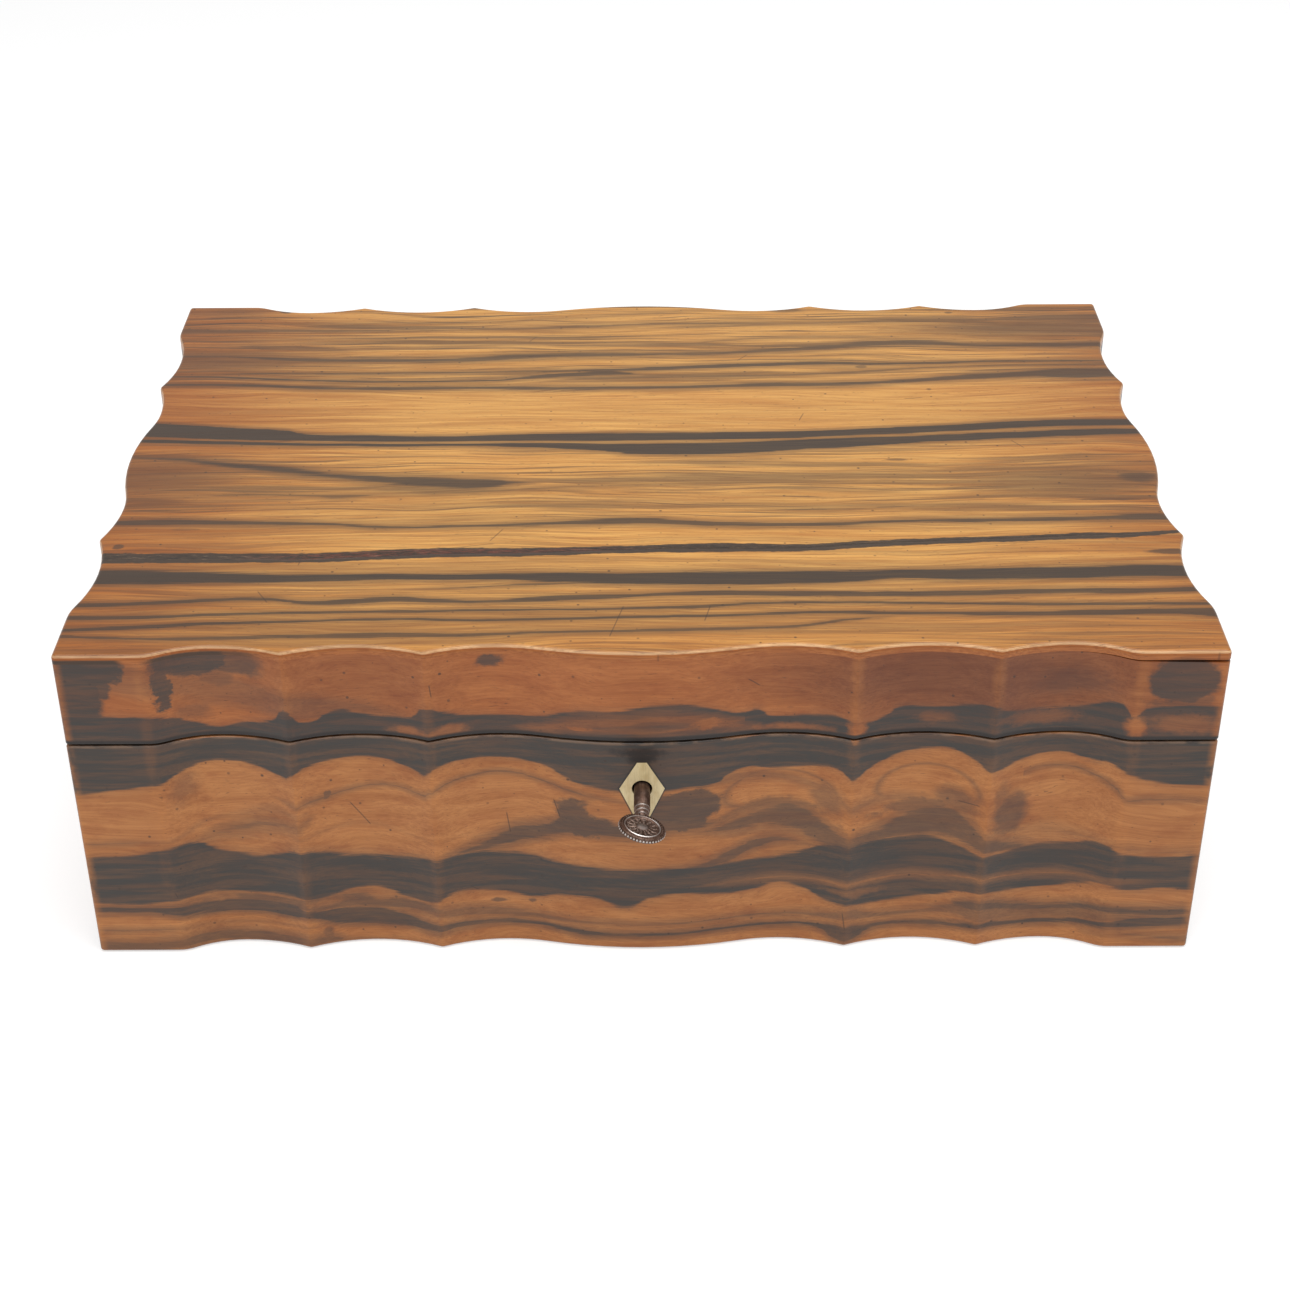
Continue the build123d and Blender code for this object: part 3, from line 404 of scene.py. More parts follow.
# Softer patches and small marks of the top board: depth, edge share, centre, half size.
top_patches = {
    "left_back_shade": (0.60, 0.6, (-148, 72), (42, 9)),
    "left_mid_shade": (0.55, 0.7, (-155, -14), (30, 14)),
    "pair_smudge": (0.40, 0.7, (-12, 58), (16, 5)),
    "pair_left_shade": (0.34, 0.7, (-88, 52.4), (52, 2.6)),
    "wedge_shade": (0.66, 0.6, (-64, -21), (26, 5)),
    "right_back_shade": (0.68, 0.7, (140, 96), (48, 8)),
    "right_mid_shade": (0.30, 0.7, (140, 87), (34, 4)),
    "right_smoke": (0.60, 0.5, (132, -19), (34, 9)),
    "right_smoke_core": (0.85, 0.6, (157, -16), (8, 4)),
    "right_line_mark": (0.7, 0.5, (148, -30), (13, 0.9)),
    "right_point": (0.8, 0.4, (159, -62.5), (8, 1.5)),
    "knot_left": (0.75, 0.25, (-157.5, -57), (1.8, 1.6)),
    "knot_back": (0.7, 0.5, (76, 65), (2.2, 1.6)),
    "mark_back": (0.6, 0.4, (97.5, 47), (1.0, 0.8)),
    "mark_middle": (0.65, 0.4, (82, -3.4), (4, 0.8)),
    "mark_slot": (0.4, 0.3, (-139, -46.6), (5, 0.9)),
    "back_chip": (0.85, 0.35, (-129, 113), (2.2, 1.2)),
    "back_edge_mark": (0.7, 0.5, (52, 112), (6, 1.6)),
    "back_spot": (0.7, 0.4, (111, 109.4), (1.4, 0.8)),
    "back_corner_shade": (0.45, 0.7, (-152, 112), (18, 4)),
}

# Scratches on the top board and on the front, each from one point to another.
top_scratches = ((-46, -55, -42, -47), (-102, -69, -101, -62), (-9, -109, -5, -92), (18, -101, 20, -92),
    (-8, -88, 3, -86), (-112, -83, -108, -90), (33, 70, 37, 75), (52, 24, 54, 30), (-40, 86, -37, 91),
    (-64, -60, -44, -56), (88, 40, 95, 41), (120, 10, 124, 4))
front_scratches = ((-86, 53, -80, 44), (-40, 49, -39, 41), (-26, 55, -24, 48), (92, 53, 99, 52),
    (-52, 22, -49, 20), (-140, 23, -139, 20), (-60, 96, -59.5, 91), (30, 96, 34, 93), (60, 13, 61, 6))

# Front board, above and below the opening: edges and stripes as (x, height) or (x, height, half width).
front_floor, front_ceiling = -6.0, 112.0
lid_band_edge = ((-165, 87), (-152, 86.5), (-140, 85.7), (-134, 84.2), (-128, 81), (-121, 78.6),
    (-115, 80.6), (-107, 82.6), (-104, 84.6), (-102, 87.3), (-99.5, 85), (-95, 82), (-91, 84), (-87, 85),
    (-80, 83.6), (-70, 83), (-66, 83.4), (-61.5, 87.5), (-57, 85.3), (-48, 83.2), (-36, 82.7), (-27, 84),
    (-20, 86), (-8, 87), (4, 89), (11, 89.3), (20, 87.3), (29, 84.3), (33, 85.2), (37, 82.4), (44, 82.4),
    (54, 83.4), (61, 82), (66, 81.6), (70, 83), (74, 85.6), (85, 85), (93, 86.5), (101, 87.2), (105, 85.4),
    (116, 84.8), (126, 85.8), (137, 88.5), (139.5, 84.4), (143, 87.6), (150, 88.5), (165, 88))
rim_band_edge = ((-165, 58), (-155, 59.5), (-143, 61.5), (-130, 63), (-118, 63), (-109, 61.7),
    (-103.5, 60.8), (-101, 63.6), (-90, 64.5), (-76, 64.4), (-67, 62.6), (-63.5, 61.6), (-60.5, 64.6),
    (-52, 65), (-38, 64), (-28, 62.8), (-22, 60), (-14, 58.4), (0, 58.4), (12, 58.2), (21, 57.2), (26, 60),
    (31, 60.6), (36, 59), (43, 59), (50, 61), (56, 62.5), (61.5, 60.4), (66, 62.4), (73, 65.2), (82, 67.4),
    (89, 68), (96, 65.8), (103, 63), (110, 64.5), (120, 66), (131, 64), (136, 66), (141, 64.2), (150, 61.5),
    (165, 60))
main_band_upper = ((-165, 36), (-150, 36.8), (-138, 38.5), (-132, 36.8), (-126, 33.4), (-116, 31.6),
    (-108, 33.4), (-101.5, 36), (-95, 33.8), (-86, 31.2), (-70, 31.4), (-61, 32.6), (-48, 32.4), (-30, 31),
    (0, 30.2), (18, 30.6), (40, 30.5), (47, 31.8), (53, 35), (60, 37), (70, 35.6), (90, 35), (104, 33),
    (116, 33.5), (126, 34), (137, 37.5), (142, 35.4), (165, 35.6))
main_band_lower = ((-165, 18.5), (-148, 18.5), (-133, 20), (-118, 19.2), (-103, 19), (-97, 17.8),
    (-88, 19.6), (-80, 20.6), (-70, 17.6), (-63, 17), (-57, 19.7), (-47, 19.8), (-38, 18), (-33, 17.2),
    (-25, 19), (-14, 18.4), (-5, 16), (2, 19), (8, 20.3), (20, 19.7), (32, 19.2), (41, 21.4), (48, 19.6),
    (54, 16.4), (62, 15), (74, 15.6), (86, 17), (96, 19.2), (108, 19.2), (120, 19.7), (130, 21.7),
    (138, 23.2), (144, 22.2), (156, 22.8), (165, 22))
front_stripes = {
    "contour_line": (0.62, 0.35, ((-104, 51, -0.3), (-99, 51, 0.3), (-94, 49.6, 0.4), (-85, 50.2, 0.35),
        (-72, 52.8, 0.35), (-64, 53.3, 0.35), (-61, 56.3, 0.35), (-50, 56.8, 0.5), (-42, 57.2, 0.6),
        (-30, 56.2, 0.5), (-18, 54.9, 0.4), (-8, 54.4, -0.2))),
    "left_hair": (0.5, 0.3, ((-165, 41, 0.25), (-153, 41.1, 0.2), (-146, 41.4, -0.3), (-130, 41, -0.6))),
    "feather_line": (0.6, 1.1, ((-134, 36.6, -0.8), (-127, 36.8, 0.3), (-119, 37.6, 0.8), (-112, 39.8, 1.0),
        (-106, 41.6, 0.8), (-101, 43.4, 0.3), (-97, 44.6, -1))),
    "feather_upper": (0.35, 1.0, ((-122, 39, -0.8), (-114, 42.4, 0.4), (-108, 45.6, 0.5), (-103, 46.6, 0.2),
        (-98, 47, -1))),
    "lobe_tail": (0.86, 0.8, ((-62, 32, 0.2), (-52, 33, 0.7), (-44, 34, 1.2), (-37, 36, 1.9),
        (-31, 38, 2.0), (-26, 40.4, 2.2), (-21, 43.4, 3.0), (-15, 43.4, 2.0), (-8, 43.6, 2.2),
        (0, 44.4, 2.6), (8, 45, 2.0), (18, 44, 0.6), (26, 43, -1))),
    "tongue": (0.8, 0.6, ((8, 29.6, 0.4), (18, 30.6, 1.0), (26, 32.2, 1.5), (33, 33.8, 1.3),
        (40, 34.7, 0.8), (47, 34.5, 0.1), (54, 34, -1))),
    "swath": (0.78, 1.2, ((14, 42, -0.6), (20, 41.8, 0.4), (28, 40.6, 1.5), (38, 40.2, 2.4), (46, 40, 3.4),
        (53, 38, 3.2), (62, 37, 2.6), (70, 36.8, 2.6), (80, 38.2, 3.4), (90, 39.6, 3.8), (98, 38.4, 3.2),
        (104, 35.6, 2.4), (112, 33.5, 0.8), (120, 33, -1))),
    "right_contour": (0.62, 0.55, ((110, 57.4, -0.5), (114, 59, 0.3), (124, 59.4, 0.4), (133, 58.5, 0.5),
        (137.5, 58.6, 0.5), (141, 55.4, 0.4), (146, 55.7, 0.5), (155, 55.7, 0.4), (165, 55.2, 0.4))),
    "right_shade": (0.4, 1.0, ((108, 38.5, 0.6), (116, 37, 0.5), (127, 36.4, 0.5), (138, 38, 0.6),
        (150, 36.5, 0.6), (165, 37, 0.6))),
    "low_stripe": (0.93, 0.7, ((-165, 15.9, 1.3), (-148, 16, 1.2), (-137, 15.2, 2.1), (-118, 14.3, 2.4),
        (-106, 13.9, 2.7), (-101, 13, 1.4), (-96, 11.4, 1.9), (-90, 10.4, 2.9), (-80, 9.6, 3.1),
        (-71, 8.4, 2.2), (-64, 7, 1.8), (-56, 7.6, 1.2), (-45, 7.7, 0.9), (-30, 7.2, 0.9), (-18, 5.6, 1.1),
        (-8, 5.3, 0.9), (20, 5.8, 0.7), (42, 6, 0.7), (52, 6.2, 1.0), (57, 5, 2.6), (61, 4.4, 3.2),
        (65, 5, 2.4), (71, 6.2, 1.0), (90, 6.5, 0.9), (104, 7.4, 1.1), (120, 7.1, 1.0), (135, 8.3, 1.2),
        (150, 9.9, 2.0), (165, 10.4, 2.0))),
    "left_merge": (0.74, 1.3, ((-152, 17.5, -1), (-138, 17.4, 0.8), (-118, 17, 2.0), (-100, 16, 2.6),
        (-84, 15.6, 3.0), (-70, 14.6, 2.6), (-60, 14, 1.0), (-50, 13.5, -1))),
    "low_haze": (0.62, 0.9, ((-72, 14, -0.5), (-60, 13, 1.8), (-48, 12, 1.8), (-36, 10.6, 1.5),
        (-20, 9.8, 0.8), (0, 9.3, 0.6), (22, 9.5, 0.6), (42, 9.8, 0.9), (56, 10.8, 1.4), (62, 11.8, 2.2),
        (70, 10.2, 1.3), (84, 11, 1.2), (95, 13, 2.6), (103, 13, 4.4), (112, 12, 3.4), (124, 11.6, 3.0),
        (136, 13, 3.4), (150, 13, 3.2), (165, 13.2, 3.0))),
    "low_dark": (0.85, 0.6, ((92, 15, -1), (102, 14.8, 1.6), (112, 13, 1.2), (124, 12.6, 1.0),
        (136, 14.3, 1.2), (150, 13.8, 1.2), (165, 14, 1.2))),
    "left_foot_line": (0.55, 0.4, ((-165, 8, 0.4), (-150, 7.8, 0.4), (-140, 8.2, 0.3), (-125, 8, -0.4),
        (-110, 8, -0.6))),
    "left_foot": (0.7, 1.2, ((-165, 1.8, 2.2), (-150, 2, 1.8), (-138, 3, 2.0), (-120, 2.4, 2.2),
        (-105, 2, 2.0), (-95, 2, 1.6), (-88, 1, -1), (-70, 1, -2))),
    "right_foot": (0.6, 0.9, ((132, 5, -1), (142, 5.6, 0.5), (150, 5, 0.7), (158, 4, 1.0),
        (165, 3.4, 1.4))),
}
# A lighter line inside the wide band, and the warm streaks that cross the dark band of the lid.
front_lights = {
    "inner_line": (0.55, 0.5, ((22, 23, -0.6), (34, 23.3, 0.2), (50, 23.8, 0.2), (62, 23.4, 0.7),
        (75, 24, 0.5), (88, 24.4, 0.4), (98, 25, 0.3), (115, 24.4, 0.3), (132, 24.8, 0.1),
        (145, 25, -0.6))),
    "lid_warm_middle": (0.45, 0.9, ((-36, 78, -1), (-28, 79, 1.0), (-20, 81.4, 1.8), (-8, 83, 1.6),
        (6, 84, 1.2), (20, 82, 1.8), (30, 79, 0.4), (38, 77, -1))),
    "lid_warm_line": (0.5, 0.5, ((-30, 79, -0.5), (-20, 80, 0.4), (-10, 80.4, 0.3), (8, 80, 0.2),
        (16, 81, 0.8), (22, 81.4, 0.8), (30, 81, -0.8))),
}
# Warm patches that lighten the dark bands of the front.
front_light_patches = {
    "lid_warm_left": (0.55, 0.6, (-67, 78), (5, 1.8)),
    "lid_warm_left_two": (0.5, 0.6, (-56, 78), (5, 2.2)),
    "lid_warm_spot": (0.7, 0.5, (19, 81.5), (4, 2.0)),
    "lid_warm_spot_left": (0.7, 0.5, (-18, 80.2), (4.5, 0.8)),
    "lid_warm_right": (0.5, 0.6, (43, 77.6), (11, 1.6)),
    "lid_ridge_warm": (0.9, 0.5, (61.5, 79), (2.6, 4)),
    "lid_warm_far": (0.4, 0.6, (84, 81), (5, 2)),
    "lid_warm_far_right": (0.45, 0.6, (114, 81.6), (10, 2.4)),
    "lid_shoulder_warm": (0.9, 0.5, (141, 81), (3, 3.4)),
    "lid_corner_warm": (0.5, 0.6, (155, 82), (12, 3)),
    "band_warm": (0.35, 0.6, (63, 20), (7, 1.6)),
    "low_warm_left": (0.4, 0.6, (-127, 17.4), (5, 1.0)),
    "low_warm_middle": (0.45, 0.6, (-95, 16.6), (6, 1.2)),
    "low_warm_right": (0.5, 0.6, (-79, 17.6), (4, 1.5)),
    "lobe_left_light": (0.9, 0.25, (-11, 50.4), (6.4, 3.2)),
}
# Bruises, stains and small marks of the front.
front_patches = {
    "bruise_left": (0.97, 0.14, (-162.5, 93), (10.5, 17)),
    "bruise_left_top": (0.97, 0.16, (-155, 102.5), (9.6, 6.5)),
    "bruise_left_step": (0.9, 0.2, (-153.5, 96), (4.5, 4.5)),
    "bruise_middle": (0.95, 0.22, (-127.5, 103), (11.5, 6)),
    "bruise_middle_leg": (0.92, 0.2, (-135.6, 96), (2.7, 8.5)),
    "bruise_middle_right": (0.75, 0.35, (-116, 102), (9, 5.0)),
    "bruise_middle_low": (0.55, 0.5, (-120, 96.5), (6, 4)),
    "bruise_stain": (0.34, 0.6, (-121, 90), (11, 4)),
    "bruise_stain_low": (0.42, 0.6, (-128, 85), (5, 3.4)),
    "lid_small_spot": (0.82, 0.4, (-43, 102), (4.2, 1.9)),
    "lid_right_bruise": (0.88, 0.14, (153, 97), (10.5, 7.5)),
    "lid_right_low": (0.55, 0.3, (154, 90.5), (9.5, 3)),
    "lid_right_stain": (0.28, 0.7, (123, 94), (10, 4)),
    "rim_bruise_key": (0.6, 0.6, (0, 71), (6, 4)),
    "left_stain": (0.32, 0.6, (-133, 57), (4, 6)),
    "knot_left": (0.7, 0.3, (-92, 50.3), (1.2, 1.5)),
    "lobe_left": (0.85, 0.16, (-17, 46.4), (8.4, 6.4)),
    "lobe_right": (0.86, 0.12, (12, 50.2), (11.4, 7.2)),
    "oval_lower": (0.55, 0.5, (38, 43.4), (18, 2.4)),
    "oval_right": (0.5, 0.5, (54, 49), (4.5, 6)),
    "far_oval_lower": (0.6, 0.4, (82, 43), (12, 2.6)),
    "far_oval_right": (0.55, 0.5, (92, 47), (6, 5)),
    "ridge_lobe": (0.68, 0.4, (108, 43.6), (5.2, 6.4)),
    "ridge_lobe_up": (0.4, 0.6, (105, 51), (2, 5)),
    "low_notch": (0.8, 0.5, (-4.5, 16.4), (2, 1.2)),
    "low_spot": (0.75, 0.4, (-43.4, 15.8), (2.4, 0.8)),
    "low_spot_two": (0.75, 0.4, (-33.4, 15.8), (1.3, 0.7)),
    "foot_mark": (0.6, 0.5, (-95.4, 3), (1.8, 4)),
}
# The umber shade on the lid, and the soot round the keyhole: depth, edge share, centre, half size.
front_umber = ((1.0, 0.7, (96, 96), (54, 14)), (0.38, 0.7, (-84, 96), (28, 12)))
front_soot = ((0.85, 0.5, (-0.5, 72.2), (7.5, 1.7)), (0.85, 0.5, (0, 70.4), (3.6, 2.2)))
# Oval lines of the figure: depth, edge share, centre, half size, thickness share.
front_rings = ((0.62, 0.13, (40.5, 50.4), (16.5, 7.6), 0.06), (0.58, 0.13, (83.5, 52.2), (15.0, 7.8), 0.05))


def grain(f, along_axis, seed, place=None):
    """Fine long fibres, broad soft streaks and short dark pores, as three numbers from 0 to 1."""
    moved = f.vector("ADD", f.place if place is None else place, (seed, seed * 1.7, seed * 0.6))

    def sizes(along, across):
        return tuple(along if axis == along_axis else across for axis in range(3))

    fibres = f.cloud(sizes(22.0, 0.45), 3.0, 0.6, place=moved)
    streaks = f.cloud(sizes(85.0, 3.2), 3.0, 0.55, 0.3, moved)
    pores = f.spots(0.665, 0.76, sizes(2.6, 0.22), 1.0, 0.5, place=moved)
    return fibres, streaks, pores


def dings(f, along, across):
    """Small round dents and filled pin holes, scattered thinly over a face, as a depth from 0 to 1."""
    cell = 9.0
    away = f.node("ShaderNodeTexVoronoi", {"voronoi_dimensions": "2D"},
                  {"Vector": f.at(along / cell, across / cell), "Scale": 1.0}, "Distance")
    chance = f.node("ShaderNodeSeparateColor", {}, {0: away.also("Color")}, "Red")
    size = chance.also("Green") * 0.045 + 0.026
    depth = 0.5 + 0.5 * chance.also("Blue")
    return f.step(away / size, 1.0, 0.4) * f.step(chance, 0.50, 0.54) * depth


def scratches(f, along, across, lines):
    """Thin straight scratches, each from one (along, across) point to another."""
    half_thick, soft = 0.28, 0.08
    marks = []
    for x0, y0, x1, y1 in lines:
        length = math.hypot(x1 - x0, y1 - y0)
        ux, uy = (x1 - x0) / length, (y1 - y0) / length
        dx, dy = along - x0, across - y0
        gone = dx * ux + dy * uy
        off = abs(dx * -uy + dy * ux)
        marks.append(f.step(off, half_thick, soft) * f.step(gone, 0.0, 1.0)
                     * f.step(gone, length, length - 1.0))
    return darkest(marks)


def polished_wood(f, light, dark, grains, marks, darks=warm_darks, fibre_depth=0.6, gloss=0.30, coat=0.0,
                  wear_and_highlight=None, blackened=None, split=None):
    """Closes a finish of striped wood from its light colour and the depth of its dark stripes."""
    fibres, streaks, pores = grains
    shade = f.step(streaks, 0.30, 0.72)
    light = f.tint(shade * 0.42, light, fibre_shade)
    light = f.tint(f.step(fibres, 0.38, 0.66) * fibre_depth, light, fibre_shade)
    light = f.tint(f.step(fibres, 0.46, 0.26) * fibre_depth * 0.55, light, fibre_sheen)
    dark = (dark * (0.90 + 0.16 * fibres)).least(1.0)
    colour = f.mix(dark, light, f.mix(fibres * 0.7, *darks))
    colour = f.mix((pores * 0.5).most(marks * 0.8), colour, pore_brown)
    # The pale line along the base's upper edge: rubbed wood with a painted highlight.
    if wear_and_highlight is not None:
        colour = f.mix(wear_and_highlight, colour, worn_and_highlight_wood)
    # Soot, and the painted shade of the gap at the opening, go over in black.
    if blackened is not None:
        colour = f.mix(blackened, colour, soot_and_shade_black)
    roughness = gloss + 0.10 * fibres + 0.08 * shade + 0.10 * pores
    height = 1.0 - (pores * 0.8).most(marks) + fibres * 0.25
    normal = f.relief(height, 0.05, 0.35)
    if split is not None:
        for share, splinter in split["splinters"]:
            colour = f.mix(share, colour, splinter)
        roughness = roughness + 0.25 * split["open"]
        normal = f.relief(1.0 - split["open"] * split["teeth"], 0.5, 0.9, normal)
    return f.surface(Base_Color=colour, Roughness=roughness, Normal=normal, Coat_Weight=coat,
                     Coat_Roughness=0.12, IOR=1.42)


def top_split(f, across):
    """The long split of the top board: its dark mouth, and what the finish needs to open it."""
    fray = f.drift(3.4, (5.0, 0.9, 5.0), 4.0, 0.72)
    wide = Board(f, across, -half_depth, half_depth, fray)
    mouth = wide.stripe(1.0, 0.30, [(x, y, half + 0.3) for x, y, half in split_stripe])
    narrow = Board(f, across, -half_depth, half_depth, fray * 0.3)
    core = narrow.stripe(1.0, 0.6, [(x, y + 0.5, half - 1.0) for x, y, half in split_stripe])
    teeth = f.cloud((3.5, 0.35, 3.5), 3.0, 0.65)
    reach = f.step(f.x, -125.0, -95.0) * f.step(f.x, 160.0, 120.0)
    left_part = f.step(f.x, 10.0, -30.0) * f.step(f.x, -130.0, -90.0)
    splinters = (
        (core * f.step(teeth, 0.46, 0.60) * left_part * 0.85, splinter_red),
        (core * f.step(teeth, 0.60, 0.70) * 0.45, splinter_pale),
        (core * f.step(teeth, 0.50, 0.36) * 0.8, splinter_black),
    )
    return mouth, {"open": core * reach, "teeth": teeth, "splinters": splinters}


def top_board_edge(f, light, dark, fray):
    """The top board's rounded edge: ruddy, with a painted highlight line, and the front's bruises carried up.
    """
    def under_top(none, full):
        return f.step(f.z, box_height - none, box_height - full)

    edge = under_top(0.5, 0.9)
    ruddy = edge * under_top(2.0, 1.4)
    below = under_top(1.4, 2.0)
    light = f.mix(below, light, copper_wood)
    light = f.mix(ruddy, light, edge_wood)
    blotch = f.cloud((4.5, 4.5, 3.0), 4.0, 0.66) - 0.5
    face = Board(f, f.z, front_floor, front_ceiling, fray, blotch)
    bruises = [values for name, values in front_patches.items() if name.startswith(("bruise_", "lid_"))]
    carried = darkest([face.patch(*values) for values in bruises])
    dark = f.mix_number(edge, dark, carried * below * f.step(f.y, -100.0, -104.0))
    # Painted highlight: a pale line along the rounded top edge, which also thins the dark figure under it.
    line = under_top(1.05, 0.8) * under_top(0.25, 0.45)
    return f.mix(line * 0.5, light, painted_edge_highlight), dark * (1.0 - line * 0.35)


def top_board_finish():
    """The lid's top board, with the stripes of the photographed one."""
    f = Finish("top_board_wood")
    wander = f.drift(14.0, (110.0, 26.0, 110.0))
    flowing = f.at(f.x, f.y + wander, f.z)
    grains = grain(f, 0, 3.0, flowing)
    streaks = grains[1]
    across = f.y + f.drift(1.5, (40.0, 9.0, 40.0), 3.0, 0.55)
    fray = f.drift(3.4, (24.0, 0.55, 24.0), 4.0, 0.62)
    blotch = f.drift(4.0, (9.0, 2.2, 9.0), 4.0, 0.65)
    board = Board(f, across, -half_depth, half_depth, fray, blotch, 2.8)
    masks = [board.stripe(depth, edge, points) for depth, edge, points in top_stripes.values()]
    masks += [board.patch(*values) for values in top_patches.values()]
    rows = (f.y + half_depth) / (2 * half_depth)
    busy = f.node("ShaderNodeFloatCurve", {"course": busy_rows}, {"Value": rows})
    wisps = f.spots(0.50, 0.64, (85.0, 1.2, 85.0), 4.0, 0.62, 0.3, flowing) * 0.95
    bands = f.spots(0.48, 0.64, (150.0, 5.0, 150.0), 3.0, 0.6, 0.3, flowing) * 0.80
    mouth, split = top_split(f, across)
    dark = darkest(masks).most(wisps * busy).most(bands * busy).most(mouth)

    ends = f.step(abs(f.x - 12.0) + (streaks - 0.5) * 60.0, 74.0, 182.0)
    front_end = f.step(f.y, -60.0, -118.0) * (0.42 + 0.40 * f.step(abs(f.x), 70.0, 160.0))
    light = f.mix(ends.most(front_end).least(1.0), golden_wood, ember_wood)
    blush = f.spots(0.45, 0.75, (60.0, 18.0, 60.0))
    light = f.tint(blush * 0.30, light, blush_tint)
    light, dark = top_board_edge(f, light, dark, fray)
    marks = dings(f, f.x, f.y).most(scratches(f, f.x, f.y, top_scratches) * 0.7)
    return polished_wood(f, light, dark, grains, marks, gloss=0.27, split=split)


def over_base(f, none, full):
    """A soft step in height, its two ends counted from the upper edge of the base."""
    return f.step(f.z, split_height + none, split_height + full)


def rim_face(f):
    """1 on the flat rims of base and lid, where they meet at the opening."""
    inset, near, on_it = 3.0, 0.30, 0.12
    inside = (half_width - inset - abs(f.x)).least(half_depth - inset - abs(f.y))
    base_rim = f.step(abs(f.z - split_height), near, on_it)
    lid_rim = f.step(abs(f.z - split_height - lid_gap), near, on_it)
    return base_rim.most(lid_rim) * f.step(inside, -0.5, 0.8)


def opening_gap_shade(f):
    """Painted shade: black on the lid walls' lower edge, where the gap at the opening is in shadow."""
    return over_base(f, 2.5, 1.5) * over_base(f, 0.1, 0.4) * 0.92


def opening_wear_and_highlight(f):
    """A thin pale line on the base's upper edge, broken by noise: rubbed wood and a painted highlight."""
    broken = f.spots(0.36, 0.60, (7.0, 7.0, 3.0), 3.0, 0.6)
    return over_base(f, -1.0, -0.4) * over_base(f, 0.1, 0.0) * broken * 0.3


def ridge_wear(f, along, ridges):
    """1 on the rubbed ridges of the carved outline, at the same places left and right of the middle."""
    half = abs(along)
    width = 2.8
    return darkest([f.step(abs(half - place), width, width * 0.2) for place in ridges])


def carved_wall(f, axis, seed, ridges, dark, marks, blackened=None, umber=None):
    """Closes the finish of a carved wall: rubbed ridges and corners, streaked flat rims, hazy ruddy wood."""
    along, reach = ((f.x, half_width), (f.y, half_depth))[axis]
    rim = rim_face(f)
    wander = f.drift(12.0, (45.0, 45.0, 16.0)) * (1.0 - rim)
    grains = grain(f, axis, seed, f.at(f.x, f.y, f.z + wander))
    rub = f.cloud((6.0, 6.0, 9.0), 3.0, 0.6)
    wear = ridge_wear(f, along, ridges) * f.step(rub, 0.30, 0.62)
    corner = f.step(abs(along), reach - 3.2, reach - 0.6) * f.step(rub, 0.25, 0.5)
    dark = dark * (1.0 - wear * 0.10) * (1.0 - corner * 0.55)
    dark = dark * (0.88 + 0.12 * f.spots(0.62, 0.40, (30.0, 30.0, 2.4), 4.0, 0.62))
    rim_streaks = f.cloud(((90.0, 2.6, 90.0), (2.6, 90.0, 90.0))[axis], 3.0, 0.6, 0.2)
    dark = f.mix_number(rim, dark, f.step(rim_streaks, 0.44, 0.56) * 0.60 + 0.25)
    # Painted shade: the dark figure is made full on the lid's lower edge, where the gap is in shadow.
    dark = dark.most(over_base(f, 2.4, 1.3) * over_base(f, 0.05, 0.1))

    light = f.mix(over_base(f, -4.0, 4.0), russet_wood, copper_wood)
    haze = f.spots(0.42, 0.70, (38.0, 38.0, 11.0), 3.0, 0.55)
    mottle = f.spots(0.44, 0.68, (11.0, 11.0, 4.5), 5.0, 0.66)
    light = f.tint(haze * 0.34, light, haze_tint)
    light = f.tint(mottle * 0.42, light, mottle_tint)
    light = f.tint(0.5, light, lift_tint)
    if umber is not None:
        light = f.tint(umber, light, umber_tint)
    light = f.mix(wear.most(corner) * 0.22, light, ridge_wood)
    # The painted shade of the gap at the opening joins the wall's own soot, if it has any.
    lid_gap_shade = opening_gap_shade(f)
    blackened = lid_gap_shade if blackened is None else blackened.most(lid_gap_shade)
    return polished_wood(f, light, dark, grains, marks, cool_darks, fibre_depth=0.36, gloss=0.32, coat=0.1,
                         wear_and_highlight=opening_wear_and_highlight(f), blackened=blackened)


def lozenge_outline(f):
    """The dark line round the bone lozenge, whose upper and lower points are cut off."""
    half, run, upper_rise, lower_rise = 6.6, 5.2, 9.3, 12.0
    beside, above = abs(f.x), f.z - keyhole_height
    upper = beside * (upper_rise / run) + above - upper_rise * half / run
    lower = beside * (lower_rise / run) - above - lower_rise * half / run
    return f.step(upper.most(lower), 1.5, 0.5) * f.step(f.z, 70.2, 69.6) * f.step(f.z, 47.5, 48.0)


